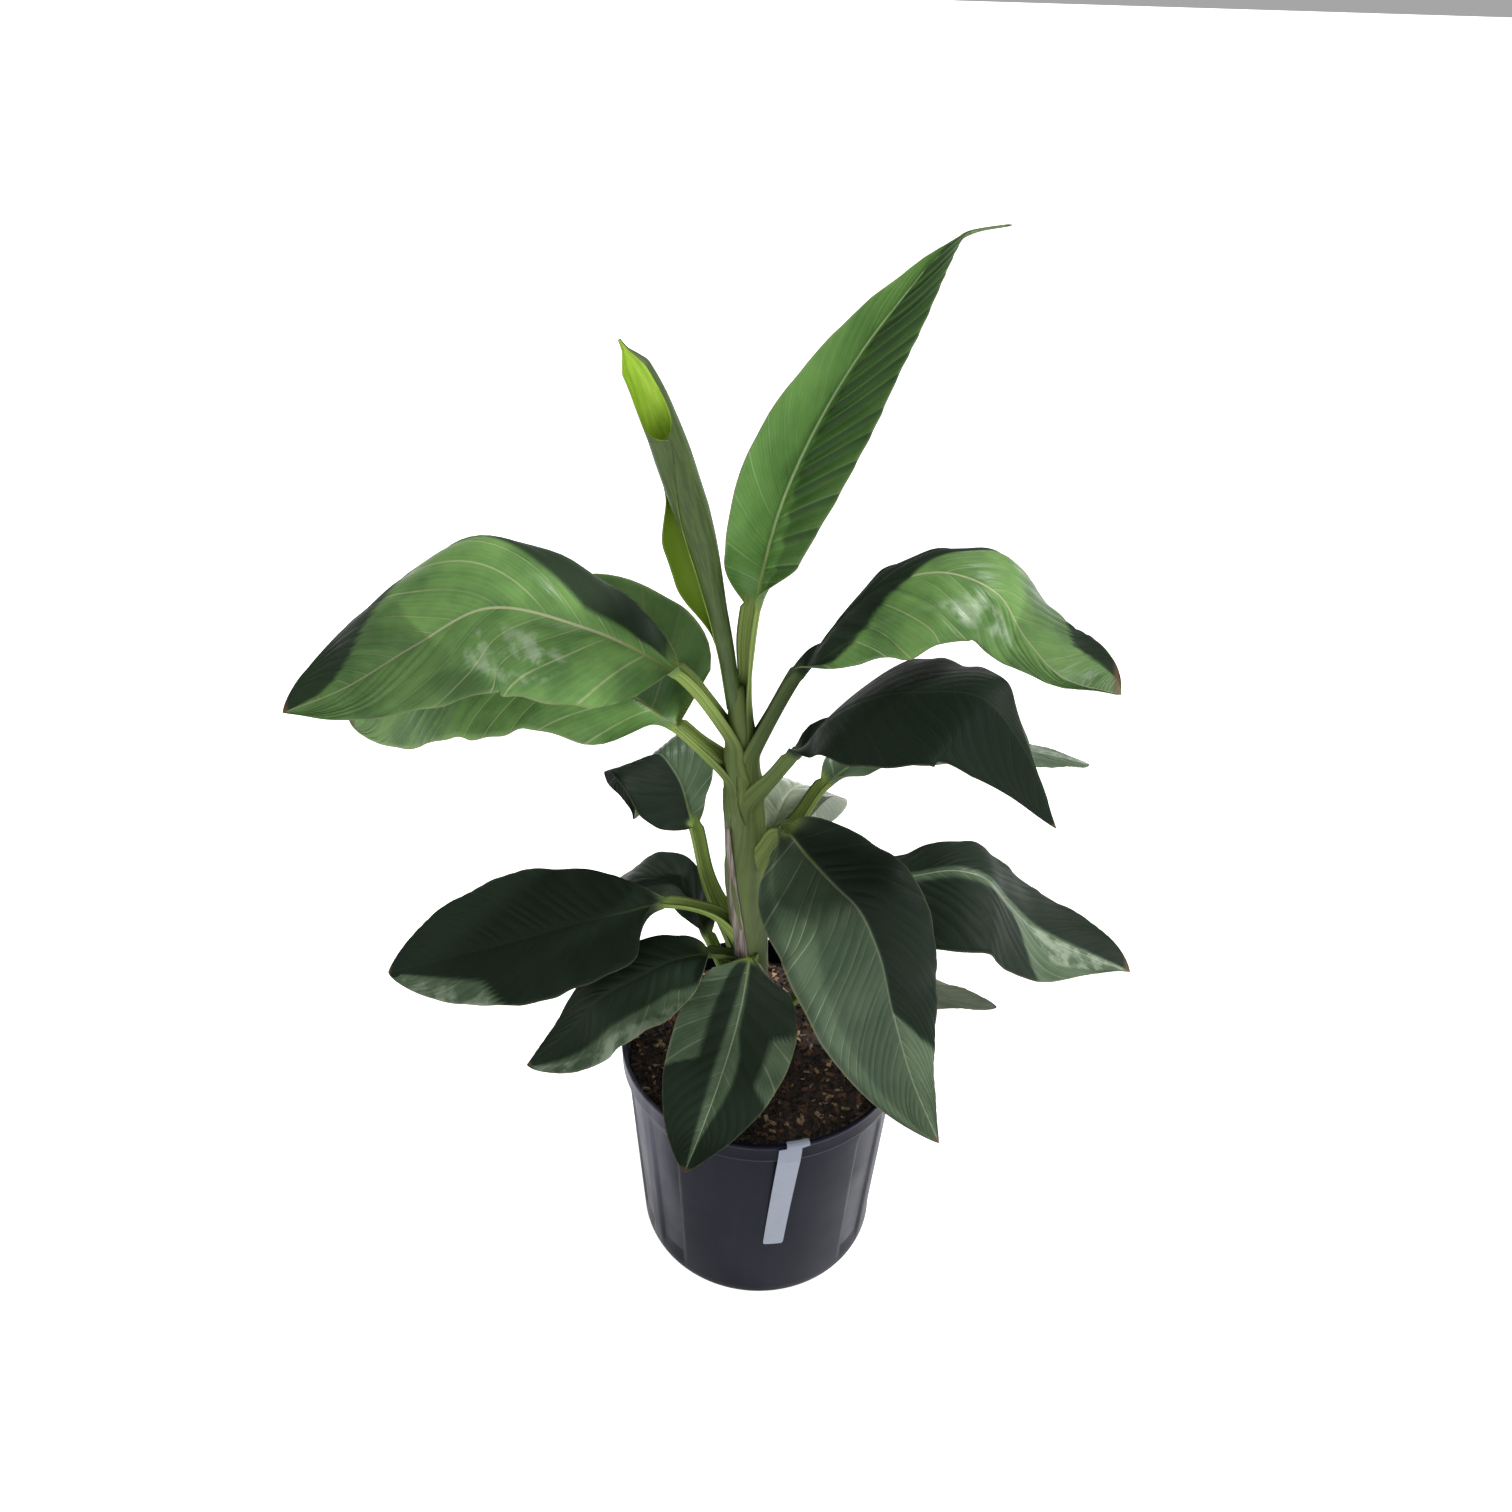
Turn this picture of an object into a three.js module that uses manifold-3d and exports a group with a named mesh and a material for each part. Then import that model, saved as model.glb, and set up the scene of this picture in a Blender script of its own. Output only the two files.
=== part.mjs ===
import * as THREE from 'three';
import { mergeVertices } from 'three/addons/utils/BufferGeometryUtils.js';
import Module from 'manifold-3d';

// A young banana plant in a round plastic nursery pot, in millimetres with +Z up.
// The origin is the middle of the pot's flat underside, and the plant tag faces -Y.

const wasm = await Module();
wasm.setup();

// Driving dimensions

// Clear space between solids that rest on each other
const GAP = 0.35;

// The pot is moulded with one wall, a stepped rim band and three pairs of arched flutes
const POT_HEIGHT = 243;
const POT_RIM_RADIUS = 138;
const POT_BASE_RADIUS = 120;
const POT_WALL = 2.6;
const POT_FLOOR = 3.5;
const POT_EDGE = 4;
const BAND_HEIGHT = 21;
const BAND_STEP = 4.5;
const RIM_WALL = 3.6;
const RIM_TAPER = 0.6;
const RIM_EDGE = 1.2;
const RIM_INSIDE = 4;

// A pair of flutes is two shallow arched recesses, NEAR to FAR degrees either side of a ridge
const FLUTE_PAIRS = 3;
const FLUTE_PAIR_HEADING = 214;
const FLUTE_NEAR = 6;
const FLUTE_FAR = 18;
const FLUTE_DEPTH = 1.6;
const FLUTE_TOP = 211;
const FLUTE_ARCH = 12;
const FLUTE_FOOT = 30;
const FLUTE_FADE = 80;
const POT_STEP = 6;

// The potting mix stops short of the rim, and the stem stands on it
const SOIL_LEVEL = 217;
const SOIL_EDGE = 8;
const SOIL_CORNER = 5;
const SOIL_BUMP = 1.75;
const SOIL_WAVE = 70;
const SOIL_FLAT = 30;
const SOIL_RINGS = 5;
const SOIL_SIDES = 30;

// The pseudostem leans to -X from where it leaves the mix to where the top leaves part
const STEM_FOOT_X = -5;
const STEM_FOOT = SOIL_LEVEL + GAP;
const STEM_LEAN = 26 / 402;
const STEM_RADII = [[0, 20], [8, 18.5], [35, 16.8], [80, 16.2], [150, 17], [215, 18.3],
  [290, 18.3], [330, 16.5], [365, 13.5], [395, 11], [415, 8], [422, 4.5]];
const STEM_RIDGES = 3;
const STEM_RIDGE = 0.05;
const STEM_TWIST = 0.7;
const STEM_SIDES = 24;

// The plant tag is a strip folded over the rim, creased under the fold, and leaning down the
// front of the pot
const TAG_WIDTH = 21;
const TAG_THICK = 1.2;
const TAG_INSIDE = 14;
const TAG_INSIDE_BEND = 2.5;
const TAG_CREASE = 8;
const TAG_FOOT = 89;
const TAG_HEADING = -76;
const TAG_CREASE_HEADING = -79;
const TAG_FOOT_HEADING = -83;
const TAG_STATIONS = 3;
const TAG_SHARES = [-0.5, -0.17, 0.17, 0.5];

// Leaf blades and stalks. A stalk is a gutter, its margins curled up by STALK_CURL degrees,
// that flattens into the blade over the NECK share of it and dies out by STALK_FADE. A blade
// is BLADE_THICK, or BLADE_SLENDER of the leaf's length where that is more, with a KEEL
// under its midrib.
const BLADE_THICK = 4;
const BLADE_SLENDER = 0.0105;
const EDGE_SHARE = 0.8;
const EDGE_LEAST = 0.6;
const STALK_CURL = 105;
const STALK_FADE = 0.3;
const STALK_MARGIN = 1;
const NECK = 0.12;
const TIP_HALF = 1.2;
const KEEL = 2.5;
const WAVE_APART = 2;
const START_REACH = 5;
const BLADE_STEPS = 14;
const STALK_STEPS = 5;
const HALF_STEPS = 3;

// Each leaf lies along one heading, in degrees round the stem from +X towards +Y.
// foot is where its stalk leaves the stem, and stalk and blade are the points of its
// midrib as [reach from the stem, height]. half is the blade's width on the left and on
// the right of the midrib, and rise how far each half lifts, in degrees, at the neck and
// at the tip. shape is how fast each half widens from the neck and narrows to the tip.
// roll turns the blade about its midrib, drip is the share of it drawn out to a thread, and
// its margins swing up and down by wave, waves times along the blade.
const LEAVES = [
  {
    name: 'leaf_upright', heading: 40, foot: 600, width: 15, roll: 22, drip: 0.13,
    stalk: [[15, 700]],
    blade: [[35, 773], [77, 843], [138, 906], [210, 953], [265, 956]],
    half: [48, 60], rise: [[60, 75], [30, 25]], shape: [[0.62, 1.45], [0.7, 1.1]],
    wave: 1.5, waves: 3,
  },
  {
    name: 'leaf_left_high', heading: 190, foot: 575, width: 16, roll: 0, drip: 0,
    stalk: [[55, 647]],
    blade: [[125, 692], [195, 711], [250, 683], [310, 648], [355, 631]],
    half: [68, 88], rise: [[-55, -45], [23, 16]], shape: [[0.6, 1], [0.75, 0.6]],
    wave: 3, waves: 3,
  },
  {
    name: 'leaf_back_left', heading: 165, foot: 535, width: 14, roll: 0, drip: 0,
    stalk: [[60, 581]],
    blade: [[107, 611], [160, 640], [234, 635], [318, 581], [379, 530]],
    half: [88, 84], rise: [[-40, -45], [85, -45]], shape: [[0.7, 0.7], [0.25, 1.6]],
    wave: 3, waves: 3,
  },
  {
    name: 'leaf_right_high', heading: -10, foot: 550, width: 16, roll: 0, drip: 0,
    stalk: [[46, 648]],
    blade: [[74, 700], [103, 731], [150, 748], [188, 736], [214, 702], [247, 672], [291, 663]],
    half: [68, 65], rise: [[-15, 20], [-38, -36]], shape: [[1.4, 0.45], [1.15, 1.9]],
    wave: 3, waves: 3,
  },
  {
    name: 'leaf_right_mid', heading: -35, foot: 510, width: 15, roll: 0, drip: 0,
    stalk: [[51, 585]],
    blade: [[77, 629], [116, 664], [154, 682], [206, 693], [235, 670], [272, 612]],
    half: [80, 68], rise: [[4, -12], [-25, -35]], shape: [[1.3, 2.6], [1, 1.1]],
    wave: 3, waves: 3,
  },
  {
    name: 'leaf_right_back', heading: 22, foot: 430, width: 12, roll: 0, drip: 0,
    stalk: [[44, 478], [72, 521]],
    blade: [[100, 540], [165, 546], [235, 530], [300, 506], [352, 483]],
    half: [50, 30], rise: [[-10, -10], [-10, -10]], shape: [[0.6, 0.7], [0.6, 0.7]],
    wave: 3, waves: 3,
  },
  {
    name: 'leaf_back', heading: 64, foot: 370, width: 11, roll: 0, drip: 0,
    stalk: [[36, 462]],
    blade: [[66, 486], [100, 478], [126, 450], [146, 402]],
    half: [34, 42], rise: [[0, 0], [0, 0]], shape: [[0.6, 0.7], [0.6, 0.7]],
    wave: 3, waves: 2,
  },
  {
    name: 'leaf_left_mid', heading: 143, foot: 290, width: 12, roll: 0, drip: 0,
    stalk: [[27, 342], [60, 397], [78, 460]],
    blade: [[96, 506], [115, 520], [140, 495], [152, 430]],
    half: [66, 42], rise: [[12, 0], [25, -10]], shape: [[0.7, 1.6], [0.7, 0.7]],
    wave: 3, waves: 2,
  },
  {
    name: 'leaf_left_low', heading: 183, foot: 330, width: 10, roll: -20, drip: 0,
    stalk: [[17, 362], [38, 393], [81, 406]],
    blade: [[124, 395], [231, 359], [340, 325]],
    half: [68, 74], rise: [[0, 0], [0, 0]], shape: [[0.52, 0.75], [0.9, 0.75]],
    wave: 3, waves: 3,
  },
  {
    name: 'leaf_left_low_back', heading: 160, foot: 245, width: 11, roll: 0, drip: 0,
    stalk: [[54, 351]],
    blade: [[69, 387], [87, 405], [115, 401], [165, 355], [205, 288]],
    half: [27, 42], rise: [[0, 0], [0, 0]], shape: [[0.6, 0.7], [0.6, 0.7]],
    wave: 2, waves: 2,
  },
  {
    name: 'leaf_left_front', heading: 205, foot: 305, width: 10, roll: 0, drip: 0,
    stalk: [[20, 345], [48, 362]],
    blade: [[75, 366], [113, 357], [152, 343], [178, 317], [222, 290]],
    half: [56, 36], rise: [[-10, -10], [10, 10]], shape: [[0.6, 0.7], [0.6, 1.1]],
    wave: 3, waves: 2,
  },
  {
    name: 'leaf_front', heading: 251, foot: 265, width: 9, roll: 0, drip: 0,
    stalk: [[21, 357]],
    blade: [[39, 320], [55, 300], [103, 268], [176, 242]],
    half: [60, 58], rise: [[10, 0], [0, 0]], shape: [[0.5, 0.9], [0.62, 0.8]],
    wave: 2, waves: 2,
  },
  {
    name: 'leaf_right_front', heading: -45, foot: 410, width: 15, roll: 20, drip: 0,
    stalk: [[24, 481], [43, 509]],
    blade: [[70, 498], [99, 487], [127, 478], [150, 451], [172, 398], [201, 338], [236, 290]],
    half: [56, 80], rise: [[0, 0], [0, 0]], shape: [[0.5, 1.1], [0.5, 0.9]],
    wave: 2, waves: 3,
  },
  {
    name: 'leaf_right_low', heading: 0, foot: 390, width: 11, roll: 0, drip: 0,
    stalk: [[30, 435]],
    blade: [[88, 442], [137, 443], [186, 451], [210, 443], [232, 417], [261, 386], [318, 354],
      [359, 337]],
    half: [62, 88], rise: [[-9, 10], [-14, -12]], shape: [[1.2, 0.5], [1.2, 1.5]],
    wave: 2, waves: 3,
  },
  {
    name: 'leaf_right_low_back', heading: 3, foot: 250, width: 9, roll: 0, drip: 0,
    stalk: [[60, 300]],
    blade: [[109, 302], [173, 290], [235, 275]],
    half: [28, 18], rise: [[0, 0], [0, 0]], shape: [[0.6, 0.7], [0.6, 0.7]],
    wave: 2, waves: 2,
  },
];

// The newest leaf is still rolled. line holds its middle as [reach, height], and girth the
// radius at each of those points. Near the tip the roll is open on the side of gape.
const ROLLED = {
  name: 'leaf_rolled', heading: 195, foot: 600, gape: -125,
  line: [[4, 612], [13, 660], [25, 710], [35, 760], [47, 806], [60, 848], [72, 880], [88, 907]],
  girth: [7, 9.5, 12.2, 13.8, 16.5, 14, 11.5, 2],
  open: [0.66, 0.96], opening: 0.12, closing: 0.06, dent: 0.75, lips: 1.5, sides: 12, steps: 14,
};

const RAD = Math.PI / 180;
const UP = new THREE.Vector3(0, 0, 1);

// Colours and finishes

const finish = (color, roughness) => (
  new THREE.MeshStandardMaterial({ color, roughness, metalness: 0 }));

// Ways of making a solid

function smooth(x) {
  const t = Math.min(Math.max(x, 0), 1);
  return t * t * (3 - 2 * t);
}

function bare(geometry) {
  geometry.deleteAttribute('normal');
  geometry.deleteAttribute('uv');
  return mergeVertices(geometry);
}

function solidOf(geometry) {
  const merged = bare(geometry.clone());
  return new wasm.Manifold(new wasm.Mesh({
    numProp: 3,
    vertProperties: new Float32Array(merged.attributes.position.array),
    triVerts: new Uint32Array(merged.index.array),
  }));
}

function geometryOf(solid) {
  const mesh = solid.getMesh();
  const geometry = new THREE.BufferGeometry();
  geometry.setAttribute('position', new THREE.BufferAttribute(mesh.vertProperties, 3));
  geometry.setIndex(new THREE.BufferAttribute(mesh.triVerts, 1));
  return geometry;
}

// A closed skin over rings of points. Each ring runs along its upper line and back along
// its lower line, and the first and last ring are closed by a strip between the two lines.
function loft(rings) {
  const n = rings[0].length;
  const half = n / 2;
  const index = [];
  const quad = (a, b, c, d) => index.push(a, b, c, a, c, d);
  for (let i = 0; i < rings.length - 1; i += 1) {
    for (let j = 0; j < n; j += 1) {
      const k = (j + 1) % n;
      quad(i * n + j, (i + 1) * n + j, (i + 1) * n + k, i * n + k);
    }
  }
  const last = (rings.length - 1) * n;
  for (let j = 0; j < half - 1; j += 1) {
    quad(j, j + 1, n - 2 - j, n - 1 - j);
    quad(last + j, last + n - 1 - j, last + n - 2 - j, last + j + 1);
  }
  const geometry = new THREE.BufferGeometry();
  const flat = rings.flat().flatMap((p) => p.toArray());
  geometry.setAttribute('position', new THREE.Float32BufferAttribute(flat, 3));
  geometry.setIndex(index);
  return geometry;
}

function largestPiece(solid) {
  return solid.decompose().reduce((a, b) => (a.volume() > b.volume() ? a : b));
}

// The pot

function bodyRadius(z) {
  const under = POT_HEIGHT - BAND_HEIGHT;
  const top = POT_RIM_RADIUS - BAND_STEP;
  return POT_BASE_RADIUS + (top - POT_BASE_RADIUS) * Math.min(z / under, 1);
}

// How deep the wall is pressed in at a heading and height
function fluteDepth(heading, z) {
  const pair = 360 / FLUTE_PAIRS;
  const turn = Math.abs(((heading - FLUTE_PAIR_HEADING) % pair + pair * 1.5) % pair - pair / 2);
  const inside = z < FLUTE_TOP && turn > FLUTE_NEAR && turn < FLUTE_FAR;
  return inside ? FLUTE_DEPTH * smooth((z - FLUTE_FOOT) / FLUTE_FADE) : 0;
}

function potGeometry() {
  const under = POT_HEIGHT - BAND_HEIGHT;
  const wallAt = (z) => bodyRadius(z) - POT_WALL;
  const outside = [
    [0, 0],
    [POT_BASE_RADIUS - POT_EDGE, 0],
    [bodyRadius(POT_EDGE), POT_EDGE],
    [bodyRadius(FLUTE_FOOT), FLUTE_FOOT],
    [bodyRadius(FLUTE_FOOT + FLUTE_FADE), FLUTE_FOOT + FLUTE_FADE],
    [bodyRadius(FLUTE_TOP - FLUTE_ARCH), FLUTE_TOP - FLUTE_ARCH],
    [bodyRadius(FLUTE_TOP), FLUTE_TOP],
    [bodyRadius(under), under],
    [POT_RIM_RADIUS - RIM_EDGE / 2, under + RIM_EDGE / 2],
    [POT_RIM_RADIUS, POT_HEIGHT - RIM_EDGE],
    [POT_RIM_RADIUS - RIM_EDGE, POT_HEIGHT],
  ];
  const inside = [
    [POT_RIM_RADIUS - RIM_WALL, POT_HEIGHT],
    [POT_RIM_RADIUS - RIM_WALL - RIM_TAPER, POT_HEIGHT - RIM_INSIDE],
    [wallAt(under), under - RIM_EDGE],
    [wallAt(POT_FLOOR + POT_EDGE), POT_FLOOR + POT_EDGE],
    [wallAt(POT_FLOOR) - POT_EDGE, POT_FLOOR],
    [0, POT_FLOOR],
  ];
  const profile = [...outside, ...inside].map(([r, z]) => new THREE.Vector2(r, z));
  const geometry = new THREE.LatheGeometry(profile, 360 / POT_STEP);
  geometry.rotateX(Math.PI / 2);
  geometry.rotateZ((FLUTE_PAIR_HEADING - POT_STEP / 2) * RAD);
  const place = geometry.attributes.position;
  for (let i = 0; i < place.count; i += 1) {
    const x = place.getX(i);
    const y = place.getY(i);
    const z = place.getZ(i);
    const radius = Math.hypot(x, y);
    if (radius > bodyRadius(z) - POT_WALL / 2) {
      const pressed = 1 - fluteDepth(Math.atan2(y, x) / RAD, z) / radius;
      place.setXY(i, x * pressed, y * pressed);
    }
  }
  return geometry;
}

// The potting mix

function soilGeometry() {
  const foot = POT_FLOOR + GAP;
  const wall = (z) => bodyRadius(z) - POT_WALL - FLUTE_DEPTH - GAP;
  const shoulder = SOIL_LEVEL - SOIL_EDGE / 2;
  const rim = wall(SOIL_LEVEL - SOIL_EDGE);
  const profile = [
    [0, foot],
    [wall(foot) - SOIL_CORNER, foot],
    [wall(foot + SOIL_CORNER), foot + SOIL_CORNER],
    [rim, SOIL_LEVEL - SOIL_EDGE],
    [rim - GAP, shoulder],
  ];
  for (let i = 0; i < SOIL_RINGS; i += 1) {
    profile.push([rim + ((SOIL_FLAT - rim) * (i + 0.5)) / SOIL_RINGS, SOIL_LEVEL]);
  }
  profile.push([SOIL_FLAT, SOIL_LEVEL], [0, SOIL_LEVEL]);
  const section = profile.map(([r, z]) => new THREE.Vector2(r, z));
  const geometry = new THREE.LatheGeometry(section, SOIL_SIDES);
  geometry.rotateX(Math.PI / 2);
  const place = geometry.attributes.position;
  const k = (2 * Math.PI) / SOIL_WAVE;
  for (let i = 0; i < place.count; i += 1) {
    const x = place.getX(i);
    const y = place.getY(i);
    if (place.getZ(i) > shoulder + 1 && Math.hypot(x, y) > SOIL_FLAT + 1) {
      const bump = Math.sin(k * x) * Math.cos(k * y + 1) + Math.sin((k * (x + y)) / 2);
      place.setZ(i, SOIL_LEVEL + SOIL_BUMP * (bump - 0.5));
    }
  }
  return geometry;
}

// The pseudostem

function stemX(z) {
  return STEM_FOOT_X - STEM_LEAN * (z - SOIL_LEVEL);
}

function stemGeometry(grow) {
  const foot = STEM_FOOT - grow;
  const profile = [new THREE.Vector2(0, foot)];
  STEM_RADII.forEach(([rise, radius], i) => {
    const z = i === 0 ? foot : STEM_FOOT + rise + grow;
    profile.push(new THREE.Vector2(radius + grow, z));
  });
  profile.push(new THREE.Vector2(0, STEM_FOOT + STEM_RADII.at(-1)[0] + grow));
  const geometry = new THREE.LatheGeometry(profile, STEM_SIDES);
  geometry.rotateX(Math.PI / 2);
  const place = geometry.attributes.position;
  for (let i = 0; i < place.count; i += 1) {
    const x = place.getX(i);
    const y = place.getY(i);
    const z = place.getZ(i);
    const turn = Math.atan2(y, x) * STEM_RIDGES + z * STEM_TWIST * RAD;
    const ridge = 1 + STEM_RIDGE * Math.sin(turn);
    place.setXY(i, x * ridge + stemX(z), y * ridge);
  }
  return geometry;
}

// The plant tag

function tagGeometry() {
  const stand = GAP + TAG_THICK / 2;
  const over = POT_HEIGHT + stand;
  // The pot's facets come this much nearer to its axis than its true inner wall
  const facet = POT_RIM_RADIUS * (1 - Math.cos((POT_STEP / 2) * RAD));
  const inner = POT_RIM_RADIUS - RIM_WALL - RIM_TAPER - facet - stand;
  const outer = POT_RIM_RADIUS + stand;
  const crease = POT_HEIGHT - TAG_CREASE;
  const under = POT_HEIGHT - BAND_HEIGHT;
  const lean = (z) => (
    THREE.MathUtils.mapLinear(z, crease, TAG_FOOT, TAG_CREASE_HEADING, TAG_FOOT_HEADING));
  // Stations along the strip as [radius, height, heading]
  const line = [
    [inner - TAG_INSIDE_BEND, POT_HEIGHT - TAG_INSIDE, TAG_HEADING],
    [inner, POT_HEIGHT - RIM_INSIDE, TAG_HEADING],
    [inner + RIM_TAPER, over, TAG_HEADING],
    [outer, over, TAG_HEADING],
    [outer, POT_HEIGHT - RIM_INSIDE, TAG_HEADING],
    [outer, crease, TAG_CREASE_HEADING],
  ];
  for (let i = 0; i <= TAG_STATIONS; i += 1) {
    const share = 1 - i / TAG_STATIONS;
    const z = TAG_FOOT + (under - TAG_FOOT) * share;
    line.push([bodyRadius(z) + stand + BAND_STEP * share ** 1.5, z, lean(z)]);
  }
  const rings = line.map(([radius, z, heading], i) => {
    const before = line[Math.max(i - 1, 0)];
    const after = line[Math.min(i + 1, line.length - 1)];
    const run = new THREE.Vector2(after[0] - before[0], after[1] - before[1]).normalize();
    // Away from the pot: the strip's run turned a quarter, so that it points up and out
    const away = new THREE.Vector2(-run.y, run.x);
    const point = (share, lift) => {
      const turn = heading * RAD + (share * TAG_WIDTH) / POT_RIM_RADIUS;
      const r = radius + away.x * lift;
      return new THREE.Vector3(r * Math.cos(turn), r * Math.sin(turn), z + away.y * lift);
    };
    const face = TAG_SHARES.map((share) => point(share, TAG_THICK / 2));
    const back = TAG_SHARES.map((share) => point(-share, -TAG_THICK / 2));
    return [...face, ...back];
  });
  return loft(rings);
}

// Leaves

// The share of its full width that half a blade has at s, from the neck at 0 to the tip at 1
function bladeShare(s, [widen, narrow], drip) {
  if (s <= 0) {
    return 0;
  }
  const q = Math.min(s / (1 - drip), 1);
  const widest = widen / (widen + narrow);
  return (q / widest) ** widen * ((1 - q) / (1 - widest)) ** narrow;
}

function leafGeometry(leaf) {
  const turn = leaf.heading * RAD;
  const outward = new THREE.Vector3(Math.cos(turn), Math.sin(turn), 0);
  const leftward = new THREE.Vector3(-Math.sin(turn), Math.cos(turn), 0);
  const base = new THREE.Vector3(stemX(leaf.foot), 0, 0);
  const midrib = [[START_REACH, leaf.foot], ...leaf.stalk, ...leaf.blade];
  const points = midrib.map(([reach, height]) => (
    base.clone().addScaledVector(outward, reach).addScaledVector(UP, height)));
  const curve = new THREE.CatmullRomCurve3(points, false, 'chordal');
  // Distances along the midrib, from point to point
  const marks = [0];
  for (let i = 1; i < points.length; i += 1) {
    marks.push(marks[i - 1] + points[i].distanceTo(points[i - 1]));
  }
  const neck = marks[leaf.stalk.length];
  const whole = marks.at(-1);
  const thick = Math.max(BLADE_THICK, whole * BLADE_SLENDER);
  const stalkInner = leaf.width / 2 - thick + STALK_MARGIN;
  const stations = [];
  for (let i = 0; i < STALK_STEPS; i += 1) {
    stations.push((neck * i) / STALK_STEPS);
  }
  for (let i = 0; i <= BLADE_STEPS; i += 1) {
    stations.push(neck + ((whole - neck) * i) / BLADE_STEPS);
  }
  const rings = stations.map((distance) => {
    let k = 0;
    while (k < marks.length - 2 && distance > marks[k + 1]) {
      k += 1;
    }
    const t = (k + (distance - marks[k]) / (marks[k + 1] - marks[k])) / (marks.length - 1);
    const s = THREE.MathUtils.clamp((distance - neck) / (whole - neck), 0, 1);
    const middle = curve.getPoint(Math.min(t, 1));
    const along = curve.getTangent(Math.min(t, 1));
    const side = leftward.clone().addScaledVector(along, -leftward.dot(along)).normalize();
    const spread = smooth(s / NECK);
    side.applyAxisAngle(along, leaf.roll * RAD * spread);
    const upper = new THREE.Vector3().crossVectors(along, side).normalize();
    const fade = 1 - smooth(s / STALK_FADE);
    const keel = KEEL * (1 - s);
    const top = [];
    const bottom = [];
    [1, -1].forEach((way, i) => {
      const blade = leaf.half[i] * bladeShare(s, leaf.shape[i], leaf.drip);
      const stalk = stalkInner * STALK_CURL * RAD * fade + TIP_HALF;
      const half = Math.hypot(blade, stalk);
      const thin = Math.min(thick, half * EDGE_SHARE + EDGE_LEAST);
      const [neckRise, tipRise] = leaf.rise[i];
      const lift = spread * (neckRise + (tipRise - neckRise) * s) * RAD;
      const curl = (1 - spread) * STALK_CURL * RAD;
      const swing = Math.sin(2 * Math.PI * leaf.waves * s + WAVE_APART * way);
      const sweep = leaf.wave * swing * spread * Math.sqrt(1 - s);
      for (let j = 0; j <= HALF_STEPS; j += 1) {
        const u = j / HALF_STEPS;
        const angle = lift + curl * u;
        const across = curl < 1e-3 ? u * Math.cos(lift) : (Math.sin(angle) - Math.sin(lift)) / curl;
        const rise = curl < 1e-3 ? u * Math.sin(lift) : (Math.cos(lift) - Math.cos(angle)) / curl;
        const on = middle.clone().addScaledVector(side, way * half * across)
          .addScaledVector(upper, half * rise + sweep * u * u);
        const facing = side.clone().multiplyScalar(-way * Math.sin(angle))
          .addScaledVector(upper, Math.cos(angle));
        const off = on.clone().addScaledVector(facing, -thin);
        if (j === 0) {
          off.copy(middle).addScaledVector(upper, -thin - keel);
        }
        if (way === 1) {
          top.push(on);
          bottom.unshift(off);
        } else if (j > 0) {
          top.unshift(on);
          bottom.push(off);
        }
      }
    });
    return [...top, ...bottom];
  });
  return loft(rings);
}

function rolledGeometry(leaf) {
  const turn = leaf.heading * RAD;
  const outward = new THREE.Vector3(Math.cos(turn), Math.sin(turn), 0);
  const leftward = new THREE.Vector3(-Math.sin(turn), Math.cos(turn), 0);
  const gape = new THREE.Vector3(Math.cos(leaf.gape * RAD), Math.sin(leaf.gape * RAD), 0);
  const base = new THREE.Vector3(stemX(leaf.foot), 0, 0);
  const points = leaf.line.map(([reach, height]) => (
    base.clone().addScaledVector(outward, reach).addScaledVector(UP, height)));
  const curve = new THREE.CatmullRomCurve3(points, false, 'chordal');
  const rings = [];
  for (let i = 0; i <= leaf.steps; i += 1) {
    const t = i / leaf.steps;
    const middle = curve.getPoint(t);
    const along = curve.getTangent(t);
    const side = leftward.clone().addScaledVector(along, -leftward.dot(along)).normalize();
    const upper = new THREE.Vector3().crossVectors(along, side);
    const place = t * (leaf.girth.length - 1);
    const k = Math.min(Math.floor(place), leaf.girth.length - 2);
    const radius = leaf.girth[k] + (leaf.girth[k + 1] - leaf.girth[k]) * (place - k);
    const [from, to] = leaf.open;
    const opened = smooth((t - from) / leaf.opening) * smooth((to - t) / leaf.closing + 1);
    const ring = [];
    for (let j = 0; j < leaf.sides; j += 1) {
      const angle = (2 * Math.PI * j) / leaf.sides;
      const ray = side.clone().multiplyScalar(-Math.cos(angle));
      ray.addScaledVector(upper, Math.sin(angle));
      const facing = Math.max(ray.dot(gape), 0) ** leaf.lips;
      ring.push(middle.clone().addScaledVector(ray, radius * (1 - leaf.dent * opened * facing)));
    }
    rings.push(ring);
  }
  return loft(rings);
}

const plant = new THREE.Group();

function add(name, geometry, material) {
  const mesh = new THREE.Mesh(bare(geometry), material);
  mesh.name = name;
  plant.add(mesh);
}

add('pot', potGeometry(), finish('#24252c', 0.45));
add('soil', soilGeometry(), finish('#2c211b', 0.95));
add('plant_tag', tagGeometry(), finish('#c3cfdb', 0.5));
add('pseudostem', stemGeometry(0), finish('#6f8a45', 0.5));

// Every leaf ends where it meets the stem
const stemRoom = solidOf(stemGeometry(GAP));
const freed = (geometry) => geometryOf(largestPiece(solidOf(geometry).subtract(stemRoom)));
add(ROLLED.name, freed(rolledGeometry(ROLLED)), finish('#6f8a4a', 0.45));
LEAVES.forEach((leaf) => add(leaf.name, freed(leafGeometry(leaf)), finish('#3f6a35', 0.4)));

export default plant;
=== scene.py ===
"""A young banana plant in a round plastic nursery pot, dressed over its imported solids."""
import math
import random

import bpy
import numpy as np
from mathutils import Matrix, Vector, noise


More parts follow.
